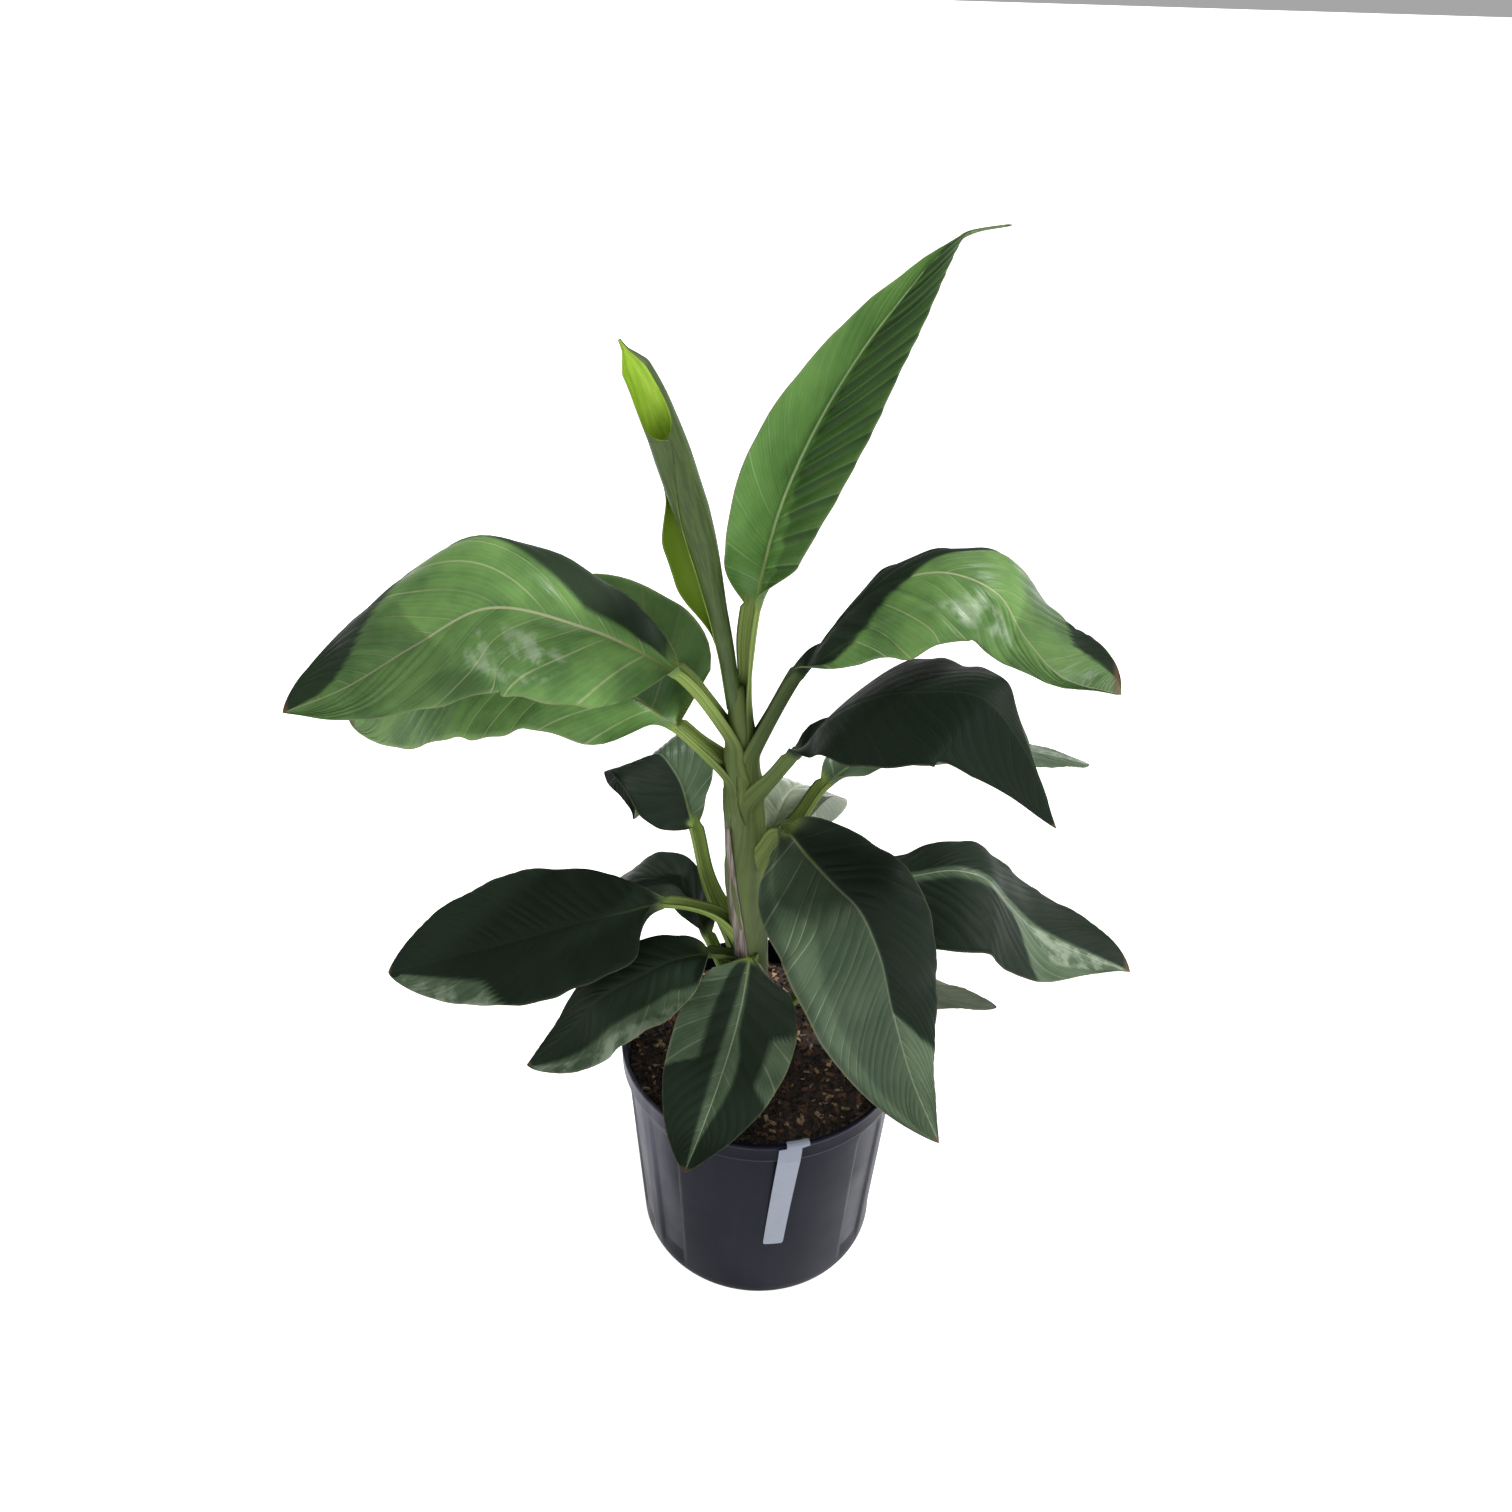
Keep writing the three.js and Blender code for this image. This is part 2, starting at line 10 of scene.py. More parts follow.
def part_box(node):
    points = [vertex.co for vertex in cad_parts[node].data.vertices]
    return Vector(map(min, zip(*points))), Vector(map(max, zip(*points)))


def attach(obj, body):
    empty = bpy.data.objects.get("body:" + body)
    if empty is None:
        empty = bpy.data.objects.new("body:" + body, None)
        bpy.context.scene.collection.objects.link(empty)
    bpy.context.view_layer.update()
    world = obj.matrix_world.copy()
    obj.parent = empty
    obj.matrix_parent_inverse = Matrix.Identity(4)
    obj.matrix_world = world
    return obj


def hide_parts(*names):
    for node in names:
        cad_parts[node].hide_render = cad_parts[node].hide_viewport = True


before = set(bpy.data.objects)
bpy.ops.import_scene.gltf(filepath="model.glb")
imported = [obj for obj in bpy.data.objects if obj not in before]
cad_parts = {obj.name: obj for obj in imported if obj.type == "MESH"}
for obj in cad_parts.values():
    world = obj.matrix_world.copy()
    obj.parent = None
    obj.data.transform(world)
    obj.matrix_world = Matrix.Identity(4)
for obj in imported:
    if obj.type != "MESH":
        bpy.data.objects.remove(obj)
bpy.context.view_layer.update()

# The camera looks down on the plant from the front, a little above its top leaf.
# It has a wide lens, close in, as a hand-held camera has, and is held slightly tilted.
CAMERA_PLACE = Vector((-0.015, -0.845, 1.108))
CAMERA_DOWN = math.radians(32.7)
CAMERA_TILT = math.radians(1.75)
CAMERA_LENS = 28.57
CAMERA_FILM = 36.0

bpy.ops.object.camera_add()
camera = bpy.context.object
camera.data.lens = CAMERA_LENS
camera.data.sensor_width = CAMERA_FILM
ahead = Vector((0, math.cos(CAMERA_DOWN), -math.sin(CAMERA_DOWN)))
level = Vector((1, 0, 0))
above = level.cross(ahead)
right = math.cos(CAMERA_TILT) * level + math.sin(CAMERA_TILT) * above
upward = math.cos(CAMERA_TILT) * above - math.sin(CAMERA_TILT) * level
camera.matrix_world = Matrix.Translation(CAMERA_PLACE) @ Matrix(
    (right, upward, -ahead)).transposed().to_4x4()
bpy.context.scene.camera = camera

# The studio is a plain pale floor, lit from within as a light table is. A soft lamp stands
# high to the plant's right, a broad weak one in front, and even light comes from all round.
FLOOR_SIZE = 400.0
FLOOR_GLOW = 0.85
FLOOR_PALE = (0.86, 0.86, 0.86, 1)
WHITE = (1, 1, 1, 1)
LAMPS = [
    ("key_lamp", (0.65, 0.20, 0.76), math.radians(8), 3.0),
    ("front_lamp", (-0.10, -0.90, 0.45), math.radians(90), 1.0),
]
ROOM_LIGHT = 0.38


def put(material, kind, inputs=None, **settings):
    """Adds a node to a material, its sockets set to values or joined to other sockets."""
    tree = material.node_tree
    made = tree.nodes.new("ShaderNode" + kind)
    for key, value in settings.items():
        setattr(made, key, value)
    for key, value in (inputs or {}).items():
        if isinstance(value, bpy.types.NodeSocket):
            tree.links.new(value, made.inputs[key])
        else:
            made.inputs[key].default_value = value
    return made


def new_material(name, roughness, **sockets):
    """A material with one Principled shader, whose constants are set on its own sockets."""
    material = bpy.data.materials.new(name)
    material.use_nodes = True
    surface = material.node_tree.nodes["Principled BSDF"]
    surface.inputs["Roughness"].default_value = roughness
    for key, value in sockets.items():
        surface.inputs[key.replace("_", " ")].default_value = value
    return material, surface


def join(material, output, socket):
    """Leads an output of one node to a socket of another."""
    material.node_tree.links.new(output, socket)


def tint(material, share, first, second):
    """A colour that runs from first to second as share goes from 0 to 1."""
    return put(material, "Mix", {0: share, 6: first, 7: second}, data_type="RGBA").outputs[2]


def span(material, value, low, high, start=0.0, end=1.0):
    """Runs smoothly from start to end while value goes from low to high."""
    settings = {"Value": value, "From Min": low, "From Max": high, "To Min": start, "To Max": end}
    return put(material, "MapRange", settings, interpolation_type="SMOOTHSTEP").outputs[0]


def reckon(material, operation, first, second=0.0):
    """One step of arithmetic on values or on the outputs of nodes."""
    return put(material, "Math", {0: first, 1: second}, operation=operation).outputs[0]


def grain(material, vector, scale, detail=3.0, roughness=0.5):
    """Cloudy noise, finer for a larger scale."""
    inputs = {"Vector": vector, "Scale": scale, "Detail": detail, "Roughness": roughness}
    return put(material, "TexNoise", inputs).outputs[0]


def spot(material):
    """Where a point lies on the piece, in metres."""
    return put(material, "TexCoord").outputs["Object"]


def dent(material, surface, height, depth, strength=1.0):
    """Lets a pattern stand out of the surface by depth, in metres."""
    bump = put(material, "Bump", {"Height": height, "Distance": depth, "Strength": strength})
    join(material, bump.outputs[0], surface.inputs["Normal"])


floor_paint, _ = new_material("floor_paint", 0.9, Base_Color=FLOOR_PALE, Emission_Color=WHITE,
                              Emission_Strength=FLOOR_GLOW)
bpy.ops.mesh.primitive_plane_add(size=FLOOR_SIZE)
floor = bpy.context.object
floor.name = "floor"
floor.data.materials.append(floor_paint)

for name, lamp_from, softness, strength in LAMPS:
    bpy.ops.object.light_add(type="SUN", location=lamp_from)
    lamp = bpy.context.object
    lamp.name = name
    lamp.data.angle = softness
    lamp.data.energy = strength
    lamp.rotation_euler = (-Vector(lamp_from)).to_track_quat("-Z", "Y").to_euler()
world = bpy.data.worlds.new("studio")
bpy.context.scene.world = world
world.use_nodes = True
room = world.node_tree.nodes["Background"]
room.inputs["Color"].default_value = WHITE
room.inputs["Strength"].default_value = ROOM_LIGHT
bpy.context.scene.view_settings.view_transform = "Standard"

# The pot is one wall of black polypropylene, injection moulded, with a stepped rim band for
# lifting and stacking, and three pairs of shallow arched flutes that stiffen it. Its left and
# right sides are lightened by a painted sheen, stronger higher up.
pot_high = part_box("pot")[1]
POT_HEIGHT = pot_high.z
RIM_RADIUS = pot_high.x
BASE_RADIUS = 0.120
BAND_FOOT = POT_HEIGHT - 0.021
BAND_STEP = 0.0045
POT_WALL = 0.0022
POT_FLOOR = 0.0035
POT_SIDES = 360
WALL_STEPS = 35
RIM_STEPS = [(0.0009, 0.0062), (0.0007, 0.0052), (0, 0.0042), (0, 0.0016), (0.0004, 0.0005),
             (0.0011, 0), (0.0017, 0.0004), (0.0021, 0.0010), (0.0026, 0.0005), (0.0032, 0.0004),
             (0.0037, 0.0014), (0.0041, 0.0060)]
FLUTE_TOP = 0.211
FLUTE_FOOT = 0.004
FLUTE_FADE = 0.030
FLUTE_DEPTH = 0.0026
FLUTE_MIDDLE = 12.0
FLUTE_HALF = 9.0
FLUTE_PAIR_HEADING = 214.0
FLUTE_PAIR_APART = 120.0
FLUTE_ARCH = 0.014
FLUTE_EDGE = 0.3


def wall_radius(z):
    """The outside of the pot's wall at a height, under the rim band."""
    return BASE_RADIUS + (RIM_RADIUS - BAND_STEP - BASE_RADIUS) * min(z / BAND_FOOT, 1)


def smooth(x):
    """Runs smoothly from 0 to 1 while x does, and stays there."""
    t = np.clip(x, 0, 1)
    return t * t * (3 - 2 * t)


def face_outward():
    """Turns every face of the active piece outward."""
    bpy.ops.object.mode_set(mode="EDIT")
    bpy.ops.mesh.select_all(action="SELECT")
    bpy.ops.mesh.normals_make_consistent(inside=False)
    bpy.ops.object.mode_set(mode="OBJECT")


def turned(name, profile, sides):
    """A closed round piece: a circle drawn out ring by ring along a profile of (radius, height)."""
    radius, height = profile[0]
    bpy.ops.mesh.primitive_circle_add(
        vertices=sides, radius=radius, fill_type="NGON", location=(0, 0, height))
    piece = bpy.context.object
    piece.name = name
    bpy.ops.object.transform_apply()
    bpy.ops.object.mode_set(mode="EDIT")
    bpy.ops.mesh.select_mode(type="EDGE")
    bpy.ops.mesh.select_all(action="SELECT")
    for next_radius, next_height in profile[1:]:
        rise = {"value": (0, 0, next_height - height)}
        bpy.ops.mesh.extrude_edges_move(TRANSFORM_OT_translate=rise)
        grow = next_radius / radius
        bpy.ops.transform.resize(value=(grow, grow, 1), center_override=(0, 0, 0))
        radius, height = next_radius, next_height
    bpy.ops.mesh.edge_face_add()
    bpy.ops.object.mode_set(mode="OBJECT")
    face_outward()
    bpy.ops.object.shade_smooth()
    return piece


def settle(piece, slot, *nodes):
    """Puts a finished piece on the plant's body, in the place of its solids. slot is not used."""
    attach(piece, "root")
    if nodes:
        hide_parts(*nodes)


pot_profile = [(0.098, 0.0016), (0.100, 0.0004), (0.102, 0), (0.1150, 0), (0.1176, 0.0008),
               (0.1194, 0.0026), (wall_radius(0.006), 0.006)]
for step in range(1, WALL_STEPS + 1):
    z = 0.006 + (BAND_FOOT - 0.0005 - 0.006) * step / WALL_STEPS
    pot_profile.append((wall_radius(z), z))
pot_profile += [
    (wall_radius(BAND_FOOT) + 0.0002, BAND_FOOT),
    (RIM_RADIUS - 0.0012, BAND_FOOT + 0.0002),
    (RIM_RADIUS - 0.0004, BAND_FOOT + 0.0009),
    (RIM_RADIUS - 0.0003, BAND_FOOT + 0.0030),
    *[(RIM_RADIUS - inward, POT_HEIGHT - down) for inward, down in RIM_STEPS],
    (wall_radius(BAND_FOOT) - POT_WALL + 0.0004, BAND_FOOT),
    (wall_radius(0.150) - POT_WALL, 0.150),
    (wall_radius(POT_FLOOR) - POT_WALL, POT_FLOOR + 0.004),
    (wall_radius(POT_FLOOR) - POT_WALL - 0.004, POT_FLOOR),
    (0.02, POT_FLOOR),
]
pot = turned("nursery_pot", pot_profile, POT_SIDES)
for vertex in pot.data.vertices:
    x, y, z = vertex.co
    radius = math.hypot(x, y)
    if z >= BAND_FOOT - 0.001 or z < 0.001 or radius < wall_radius(z) - POT_WALL / 2:
        continue
    heading = math.degrees(math.atan2(y, x)) - FLUTE_PAIR_HEADING
    turn = abs((heading + FLUTE_PAIR_APART / 2) % FLUTE_PAIR_APART - FLUTE_PAIR_APART / 2)
    across = (turn - FLUTE_MIDDLE) / FLUTE_HALF
    if abs(across) >= 1:
        continue
    arch = FLUTE_TOP - FLUTE_ARCH * (1 - math.sqrt(1 - across * across))
    pressed = FLUTE_DEPTH * smooth((1 - abs(across)) / FLUTE_EDGE) * smooth((arch - z) / 0.005)
    pressed *= smooth((z - FLUTE_FOOT) / FLUTE_FADE)
    vertex.co.x *= 1 - pressed / radius
    vertex.co.y *= 1 - pressed / radius

POT_BLACK = (0.0022, 0.0030, 0.0075, 1)
POT_WORN = (0.0042, 0.0050, 0.0110, 1)
POT_DUST = (0.018, 0.018, 0.028, 1)
# The colour and reach of a painted sheen on the pot's left and right sides, stronger higher up.
POT_PAINTED_SHEEN = (0.130, 0.130, 0.165, 1)
POT_BLOOM = (0.72, 0.74, 1, 1)
PAINTED_SHEEN_LEFT = (-0.075, -0.110, 0, 0.8)
PAINTED_SHEEN_RIGHT = (0.095, 0.130, 0, 0.5)
PAINTED_SHEEN_RISE = (0.03, 0.15, 0.15, 1.0)
pot_plastic, pot_surface = new_material(
    "pot_plastic", 0.5, Specular_IOR_Level=0.05, Specular_Tint=POT_BLOOM, Sheen_Weight=0.03,
    Sheen_Roughness=0.35, Sheen_Tint=POT_BLOOM)
place = spot(pot_plastic)
stretched = put(pot_plastic, "Mapping", {"Vector": place, "Scale": (1, 1, 0.15)}).outputs[0]
flow = grain(pot_plastic, stretched, 60, 4)
cloud = grain(pot_plastic, place, 14, 5, 0.6)
across_x, _, height_z = put(pot_plastic, "SeparateXYZ", {0: place}).outputs
dust = reckon(pot_plastic, "MULTIPLY", span(pot_plastic, cloud, 0.45, 0.75),
              span(pot_plastic, height_z, 0.12, 0.0, 0.05, 0.20))
plastic = tint(pot_plastic, span(pot_plastic, flow, 0.3, 0.75), POT_BLACK, POT_WORN)
plastic = tint(pot_plastic, dust, plastic, POT_DUST)
# Painted sheen: lighter on the pot's left and right sides, streaked, and stronger higher up.
painted_sheen = reckon(pot_plastic, "MULTIPLY", span(pot_plastic, flow, 0.30, 0.70, 0.5, 1.0), reckon(
    pot_plastic, "ADD", span(pot_plastic, across_x, *PAINTED_SHEEN_LEFT),
    span(pot_plastic, across_x, *PAINTED_SHEEN_RIGHT)))
painted_sheen = reckon(pot_plastic, "MULTIPLY", painted_sheen, span(pot_plastic, height_z, *PAINTED_SHEEN_RISE))
join(pot_plastic, tint(pot_plastic, painted_sheen, plastic, POT_PAINTED_SHEEN), pot_surface.inputs["Base Color"])
join(pot_plastic, span(pot_plastic, cloud, 0.3, 0.8, 0.34, 0.46), pot_surface.inputs["Roughness"])
dent(pot_plastic, pot_surface, grain(pot_plastic, place, 900, 2), 0.00008, 0.6)
pot.data.materials.append(pot_plastic)
settle(pot, "pot_plastic", "pot")

# The potting mix is peat and composted bark, filled to a finger under the rim.
# It is one heaped surface, with loose bark chips of three colours scattered over it.
MIX_LEVEL = 0.217
MIX_RADIUS = wall_radius(MIX_LEVEL) - POT_WALL - 0.0006
MIX_RINGS = 46
MIX_SIDES = 220
MIX_DARK = (0.030, 0.023, 0.021, 1)
MIX_BROWN = (0.110, 0.070, 0.054, 1)
MIX_RED = (0.16, 0.085, 0.04, 1)
MIX_LUMPS = [(14, 3.1, 0.0032), (70, 8.4, 0.0020), (240, 1.7, 0.0009)]
CHIP_KINDS = [
    ("bark_dark", 1500, (0.0035, 0.0085), (0.042, 0.027, 0.021, 1), (0.015, 0.012, 0.011, 1)),
    ("bark_red", 620, (0.0035, 0.0110), (0.180, 0.092, 0.055, 1), (0.070, 0.038, 0.024, 1)),
    ("bark_tan", 240, (0.0030, 0.0095), (0.55, 0.38, 0.23, 1), (0.27, 0.155, 0.085, 1)),
]


def mix_height(x, y):
    """The height of the heaped mix at a place: broad mounds, then clods, then crumbs."""
    height = MIX_LEVEL - 0.001
    for fineness, layer, size in MIX_LUMPS:
        height += noise.noise(Vector((x * fineness, y * fineness, layer))) * size
    return height


mix_profile = [(0.02, 0.0042), (wall_radius(0.004) - 0.008, 0.0042),
               (wall_radius(0.009) - 0.0045, 0.0090), (MIX_RADIUS - 0.001, MIX_LEVEL - 0.012)]
for step in range(MIX_RINGS):
    mix_profile.append((MIX_RADIUS * (1 - step / MIX_RINGS) + 0.0005 * step / MIX_RINGS, MIX_LEVEL))
mix = turned("potting_mix", mix_profile, MIX_SIDES)
for vertex in mix.data.vertices:
    if vertex.co.z > MIX_LEVEL - 0.001:
        vertex.co.z = mix_height(vertex.co.x, vertex.co.y)

mix_earth, mix_surface = new_material("mix_earth", 0.95)
place = spot(mix_earth)
coarse = grain(mix_earth, place, 130, 6, 0.7)
fine = grain(mix_earth, place, 900, 3)
earth = tint(mix_earth, span(mix_earth, coarse, 0.35, 0.7), MIX_DARK, MIX_BROWN)
earth = tint(mix_earth, span(mix_earth, fine, 0.62, 0.8), earth, MIX_RED)
join(mix_earth, earth, mix_surface.inputs["Base Color"])
dent(mix_earth, mix_surface, reckon(mix_earth, "ADD", coarse, fine), 0.0016)
mix.data.materials.append(mix_earth)
settle(mix, "potting_mix", "soil")

rng = random.Random(11)
BOX_FACES = [(0, 1, 3, 2), (4, 6, 7, 5), (0, 4, 5, 1), (2, 3, 7, 6), (0, 2, 6, 4), (1, 5, 7, 3)]
for name, count, (shortest, longest), light, dark in CHIP_KINDS:
    points, faces = [], []
    for chip in range(count):
        reach = (MIX_RADIUS - 0.003) * math.sqrt(rng.random())
        heading = rng.uniform(0, 2 * math.pi)
        x, y = reach * math.cos(heading), reach * math.sin(heading)
        length = rng.uniform(shortest, longest)
        sizes = (length, length * rng.uniform(0.3, 0.6), length * rng.uniform(0.12, 0.3))
        lean = Matrix.Rotation(rng.uniform(0, 6.28), 3, "Z") @ Matrix.Rotation(
            rng.gauss(0, 0.35), 3, "X") @ Matrix.Rotation(rng.gauss(0, 0.3), 3, "Y")
        centre = Vector((x, y, mix_height(x, y) + rng.uniform(-0.0002, 0.0011)))
        first = len(points)
        for corner in range(8):
            sign = [(corner >> axis & 1) - 0.5 for axis in range(3)]
            local = [s * size * rng.uniform(0.65, 1.1) for s, size in zip(sign, sizes)]
            points.append(centre + lean @ Vector(local))
        faces += [[first + k for k in face] for face in BOX_FACES]
    mesh = bpy.data.meshes.new(name)
    mesh.from_pydata(points, [], faces)
    chips = bpy.data.objects.new(name, mesh)
    bpy.context.collection.objects.link(chips)
    bpy.ops.object.select_all(action="DESELECT")
    bpy.context.view_layer.objects.active = chips
    chips.select_set(True)
    face_outward()
    bark, bark_surface = new_material(name, 0.9)
    place = spot(bark)
    shade = span(bark, grain(bark, place, 260, 4, 0.6), 0.35, 0.65)
    join(bark, tint(bark, shade, dark, light), bark_surface.inputs["Base Color"])
    dent(bark, bark_surface, grain(bark, place, 1200, 3), 0.0003)
    mesh.materials.append(bark)
    settle(chips, "potting_mix")

# The plant tag is a strip of white polystyrene, folded over the rim by hand: a short leg
# inside the pot, a crease just under the fold, and a long leg down the outside. It is bare.
TAG_WIDTH = 0.021
TAG_THICK = 0.0007
TAG_STAND = 0.0010
TAG_FOOT = 0.089
TAG_HEADING = -76.0
TAG_CREASE_HEADING = -79.0
TAG_FOOT_HEADING = -83.0
TAG_CREASE = POT_HEIGHT - 0.007
TAG_BEND = [(-0.0075, -0.014), (-0.0055, -0.005), (-0.0048, -0.0006), (-0.0036, 0.0011),
            (-0.0008, 0.0012), (0.0008, -0.0004), (0.0010, -0.0040)]
TAG_ROWS = 150
TAG_COLUMNS = 10
TAG_PALE = (0.168, 0.192, 0.245, 1)
TAG_SMUDGED = (0.122, 0.140, 0.182, 1)


def marks_along(points):
    """How far along a line of points each of them lies."""
    return np.concatenate(([0], np.cumsum(np.linalg.norm(np.diff(points, axis=0), axis=1))))


def tag_heading(z):
    """The heading in degrees of the tag's middle at a height: its long leg hangs askew."""
    lean = np.interp(z, [TAG_FOOT, TAG_CREASE], [TAG_FOOT_HEADING, TAG_CREASE_HEADING])
    return TAG_HEADING if z > TAG_CREASE + 0.003 else float(lean)


tag_line = [(RIM_RADIUS + outward, POT_HEIGHT + up) for outward, up in TAG_BEND]
tag_line += [(RIM_RADIUS + 0.0011, TAG_CREASE), (RIM_RADIUS + 0.0010, BAND_FOOT)]
for share in (0.8, 0.6, 0.4, 0.2, 0.0):
    z = TAG_FOOT + (BAND_FOOT - TAG_FOOT) * share
    tag_line.append((wall_radius(z) + TAG_STAND + BAND_STEP * share ** 1.5, z))
tag_line = np.array(tag_line)
tag_marks = marks_along(tag_line)
bpy.ops.mesh.primitive_grid_add(x_subdivisions=TAG_COLUMNS, y_subdivisions=TAG_ROWS, size=1)
tag = bpy.context.object
tag.name = "plant_tag_strip"
for vertex in tag.data.vertices:
    along = (0.5 - vertex.co.y) * tag_marks[-1]
    radius = np.interp(along, tag_marks, tag_line[:, 0])
    z = np.interp(along, tag_marks, tag_line[:, 1])
    from_end = (tag_marks[-1] - along) / 0.004
    narrow = 1 - 0.16 * (1 - math.sqrt(max(1 - (1 - min(from_end, 1)) ** 2, 0)))
    turn = math.radians(tag_heading(z)) + vertex.co.x * TAG_WIDTH * narrow / RIM_RADIUS
    vertex.co = (radius * math.cos(turn), radius * math.sin(turn), z)
thicken = tag.modifiers.new("thicken", "SOLIDIFY")
thicken.thickness = TAG_THICK
thicken.offset = 0
bpy.ops.object.modifier_apply(modifier="thicken")
face_outward()
bpy.ops.object.shade_smooth_by_angle(angle=math.radians(40))

tag_white, tag_surface = new_material("tag_white", 0.38)
place = spot(tag_white)
smudge = span(tag_white, grain(tag_white, place, 70, 4, 0.6), 0.5, 0.8, 0, 0.6)
join(tag_white, tint(tag_white, smudge, TAG_PALE, TAG_SMUDGED), tag_surface.inputs["Base Color"])
dent(tag_white, tag_surface, grain(tag_white, place, 400, 2), 0.00006)
tag.data.materials.append(tag_white)
settle(tag, "tag", "plant_tag")

# The pseudostem is no wood: its core is the youngest leaf sheaths, rolled tight.
# It leans to the left, thickens at the foot, and shows only where the outer sheaths part.
MM = 0.001
UP = np.array([0, 0, 1.0])
MIX_TOP = 217.0
STEM_FOOT_X = -5.0
STEM_FOOT = MIX_TOP + 0.35
STEM_LEAN = 26 / 402
STEM_RADII = [(0, 20), (8, 18.5), (35, 16.8), (80, 16.2), (150, 17), (215, 18.3), (290, 18.3),
              (330, 16.5), (365, 13.5), (395, 11), (415, 8), (422, 4.5)]
STEM_RIDGES = 3
STEM_RIDGE = 0.05
STEM_TWIST = math.radians(0.7)
SHEATH_LAYER = 0.9
CORE_DEPTH = 3.0
CORE_TOP = 416
CORE_ROWS = 81
CORE_SIDES = 48


def stem_x(z):
    """How far to the right the leaning stem's middle is at a height, in millimetres."""
    return STEM_FOOT_X - STEM_LEAN * (z - MIX_TOP)


def stem_radius(z, turn):
    """The outside of the stem in millimetres, with its three soft ridges."""
    rises, radii = np.array(STEM_RADII, float).T
    radius = np.interp(np.asarray(z) - STEM_FOOT, rises, radii)
    return radius * (1 + STEM_RIDGE * np.sin(STEM_RIDGES * turn + z * STEM_TWIST))


core_profile = [(0.004, STEM_FOOT * MM)]
for step in range(CORE_ROWS):
    z = STEM_FOOT + (CORE_TOP - 2) * step / (CORE_ROWS - 1)
    core_profile.append((max(float(stem_radius(z, 0)) - CORE_DEPTH, 2.0) * MM, z * MM))
core_profile.append((0.001, (STEM_FOOT + CORE_TOP) * MM))
core = turned("stem_core", core_profile, CORE_SIDES)
for vertex in core.data.vertices:
    vertex.co.x += stem_x(vertex.co.z / MM) * MM

# Each leaf is one living piece, held by its sheath, which wraps the stem. Over that are a
# channelled stalk and a thin waxy blade on a thick midrib, with parallel side veins that run
# out and forward to the margin. The low leaves are older and duller; many carry painted shade.
STALK_CURL = math.radians(105)
STALK_FADE = 0.3
NECK = 0.12
TIP_HALF = 0.9
WAVE_APART = 2.0
START_REACH = 5.0
STALK_WALL = 3.2
SHEATH_WALL = 1.5
BLADE_WALL = 0.75
HALF_COLUMNS = 22
COLUMN_CROWD = 1.5
SHEATH_ROWS = 24
STALK_ROWS = 30
SHEATH_LENGTH = 150.0
SHADE_BLUR = 0.10
# How much painted shade lies in the crease on the steep side of each pleat.
CREASE_PAINTED_SHADE = 0.095
GROOVE_DEPTH = 1.1
RIB_SHARE = 0.095
KEEL_SHARE = 0.42
FEET = [600, 575, 550, 535, 510, 430, 370, 390, 330, 410, 305, 290, 265, 250, 245]

LEAF_YOUNG = dict(blade=(0.125, 0.258, 0.062, 1), deep=(0.080, 0.180, 0.043, 1),
                  under=(0.150, 0.230, 0.090, 1), rib=(0.36, 0.48, 0.24, 1))
LEAF_GROWN = dict(blade=(0.140, 0.275, 0.072, 1), deep=(0.068, 0.150, 0.042, 1),
                  under=(0.090, 0.145, 0.070, 1), rib=(0.40, 0.40, 0.24, 1))
LEAF_LOW = dict(blade=(0.088, 0.134, 0.074, 1), deep=(0.054, 0.090, 0.050, 1),
                under=(0.085, 0.125, 0.075, 1), rib=(0.290, 0.345, 0.230, 1))
LEAF_WAN = dict(blade=(0.330, 0.390, 0.270, 1), deep=(0.240, 0.285, 0.205, 1),
                under=(0.360, 0.395, 0.350, 1), rib=(0.42, 0.46, 0.36, 1))
# Colours of painted shade on blades and ribs, for the parts of leaves that lie in shadow.
PAINTED_SHADE_BLADE = (0.0040, 0.0105, 0.0052, 1)
PAINTED_SHADE_RIB = (0.014, 0.028, 0.013, 1)
MARGIN_PALE = (0.20, 0.20, 0.10, 1)
# The colour of a painted pale shine, laid where a leaf's mark of shade is below zero.
LEAF_PAINTED_SHINE = (0.58, 0.66, 0.52, 1)
STALK_LIME = (0.260, 0.350, 0.085, 1)
STALK_SHADE = (0.130, 0.190, 0.045, 1)
# The colour of painted shade on a stalk.
STALK_PAINTED_SHADE = (0.038, 0.058, 0.021, 1)
STALK_LINE = (0.034, 0.036, 0.016, 1)
SHEATH_GREEN = (0.058, 0.083, 0.022, 1)
SHEATH_PALE = (0.088, 0.110, 0.052, 1)
SHEATH_BASE = (0.036, 0.034, 0.024, 1)
TIP_DRY = (0.115, 0.070, 0.036, 1)


def laid_on(material, name):
    """What a piece's own attribute of this name says at a point."""
    return put(material, "Attribute", attribute_name=name).outputs["Vector"]


def stretch(material, vector, *factors):
    """A vector with each of its three parts multiplied by a factor of its own."""
    scaled = put(material, "VectorMath", {0: vector, 1: factors}, operation="MULTIPLY")
    return scaled.outputs[0]


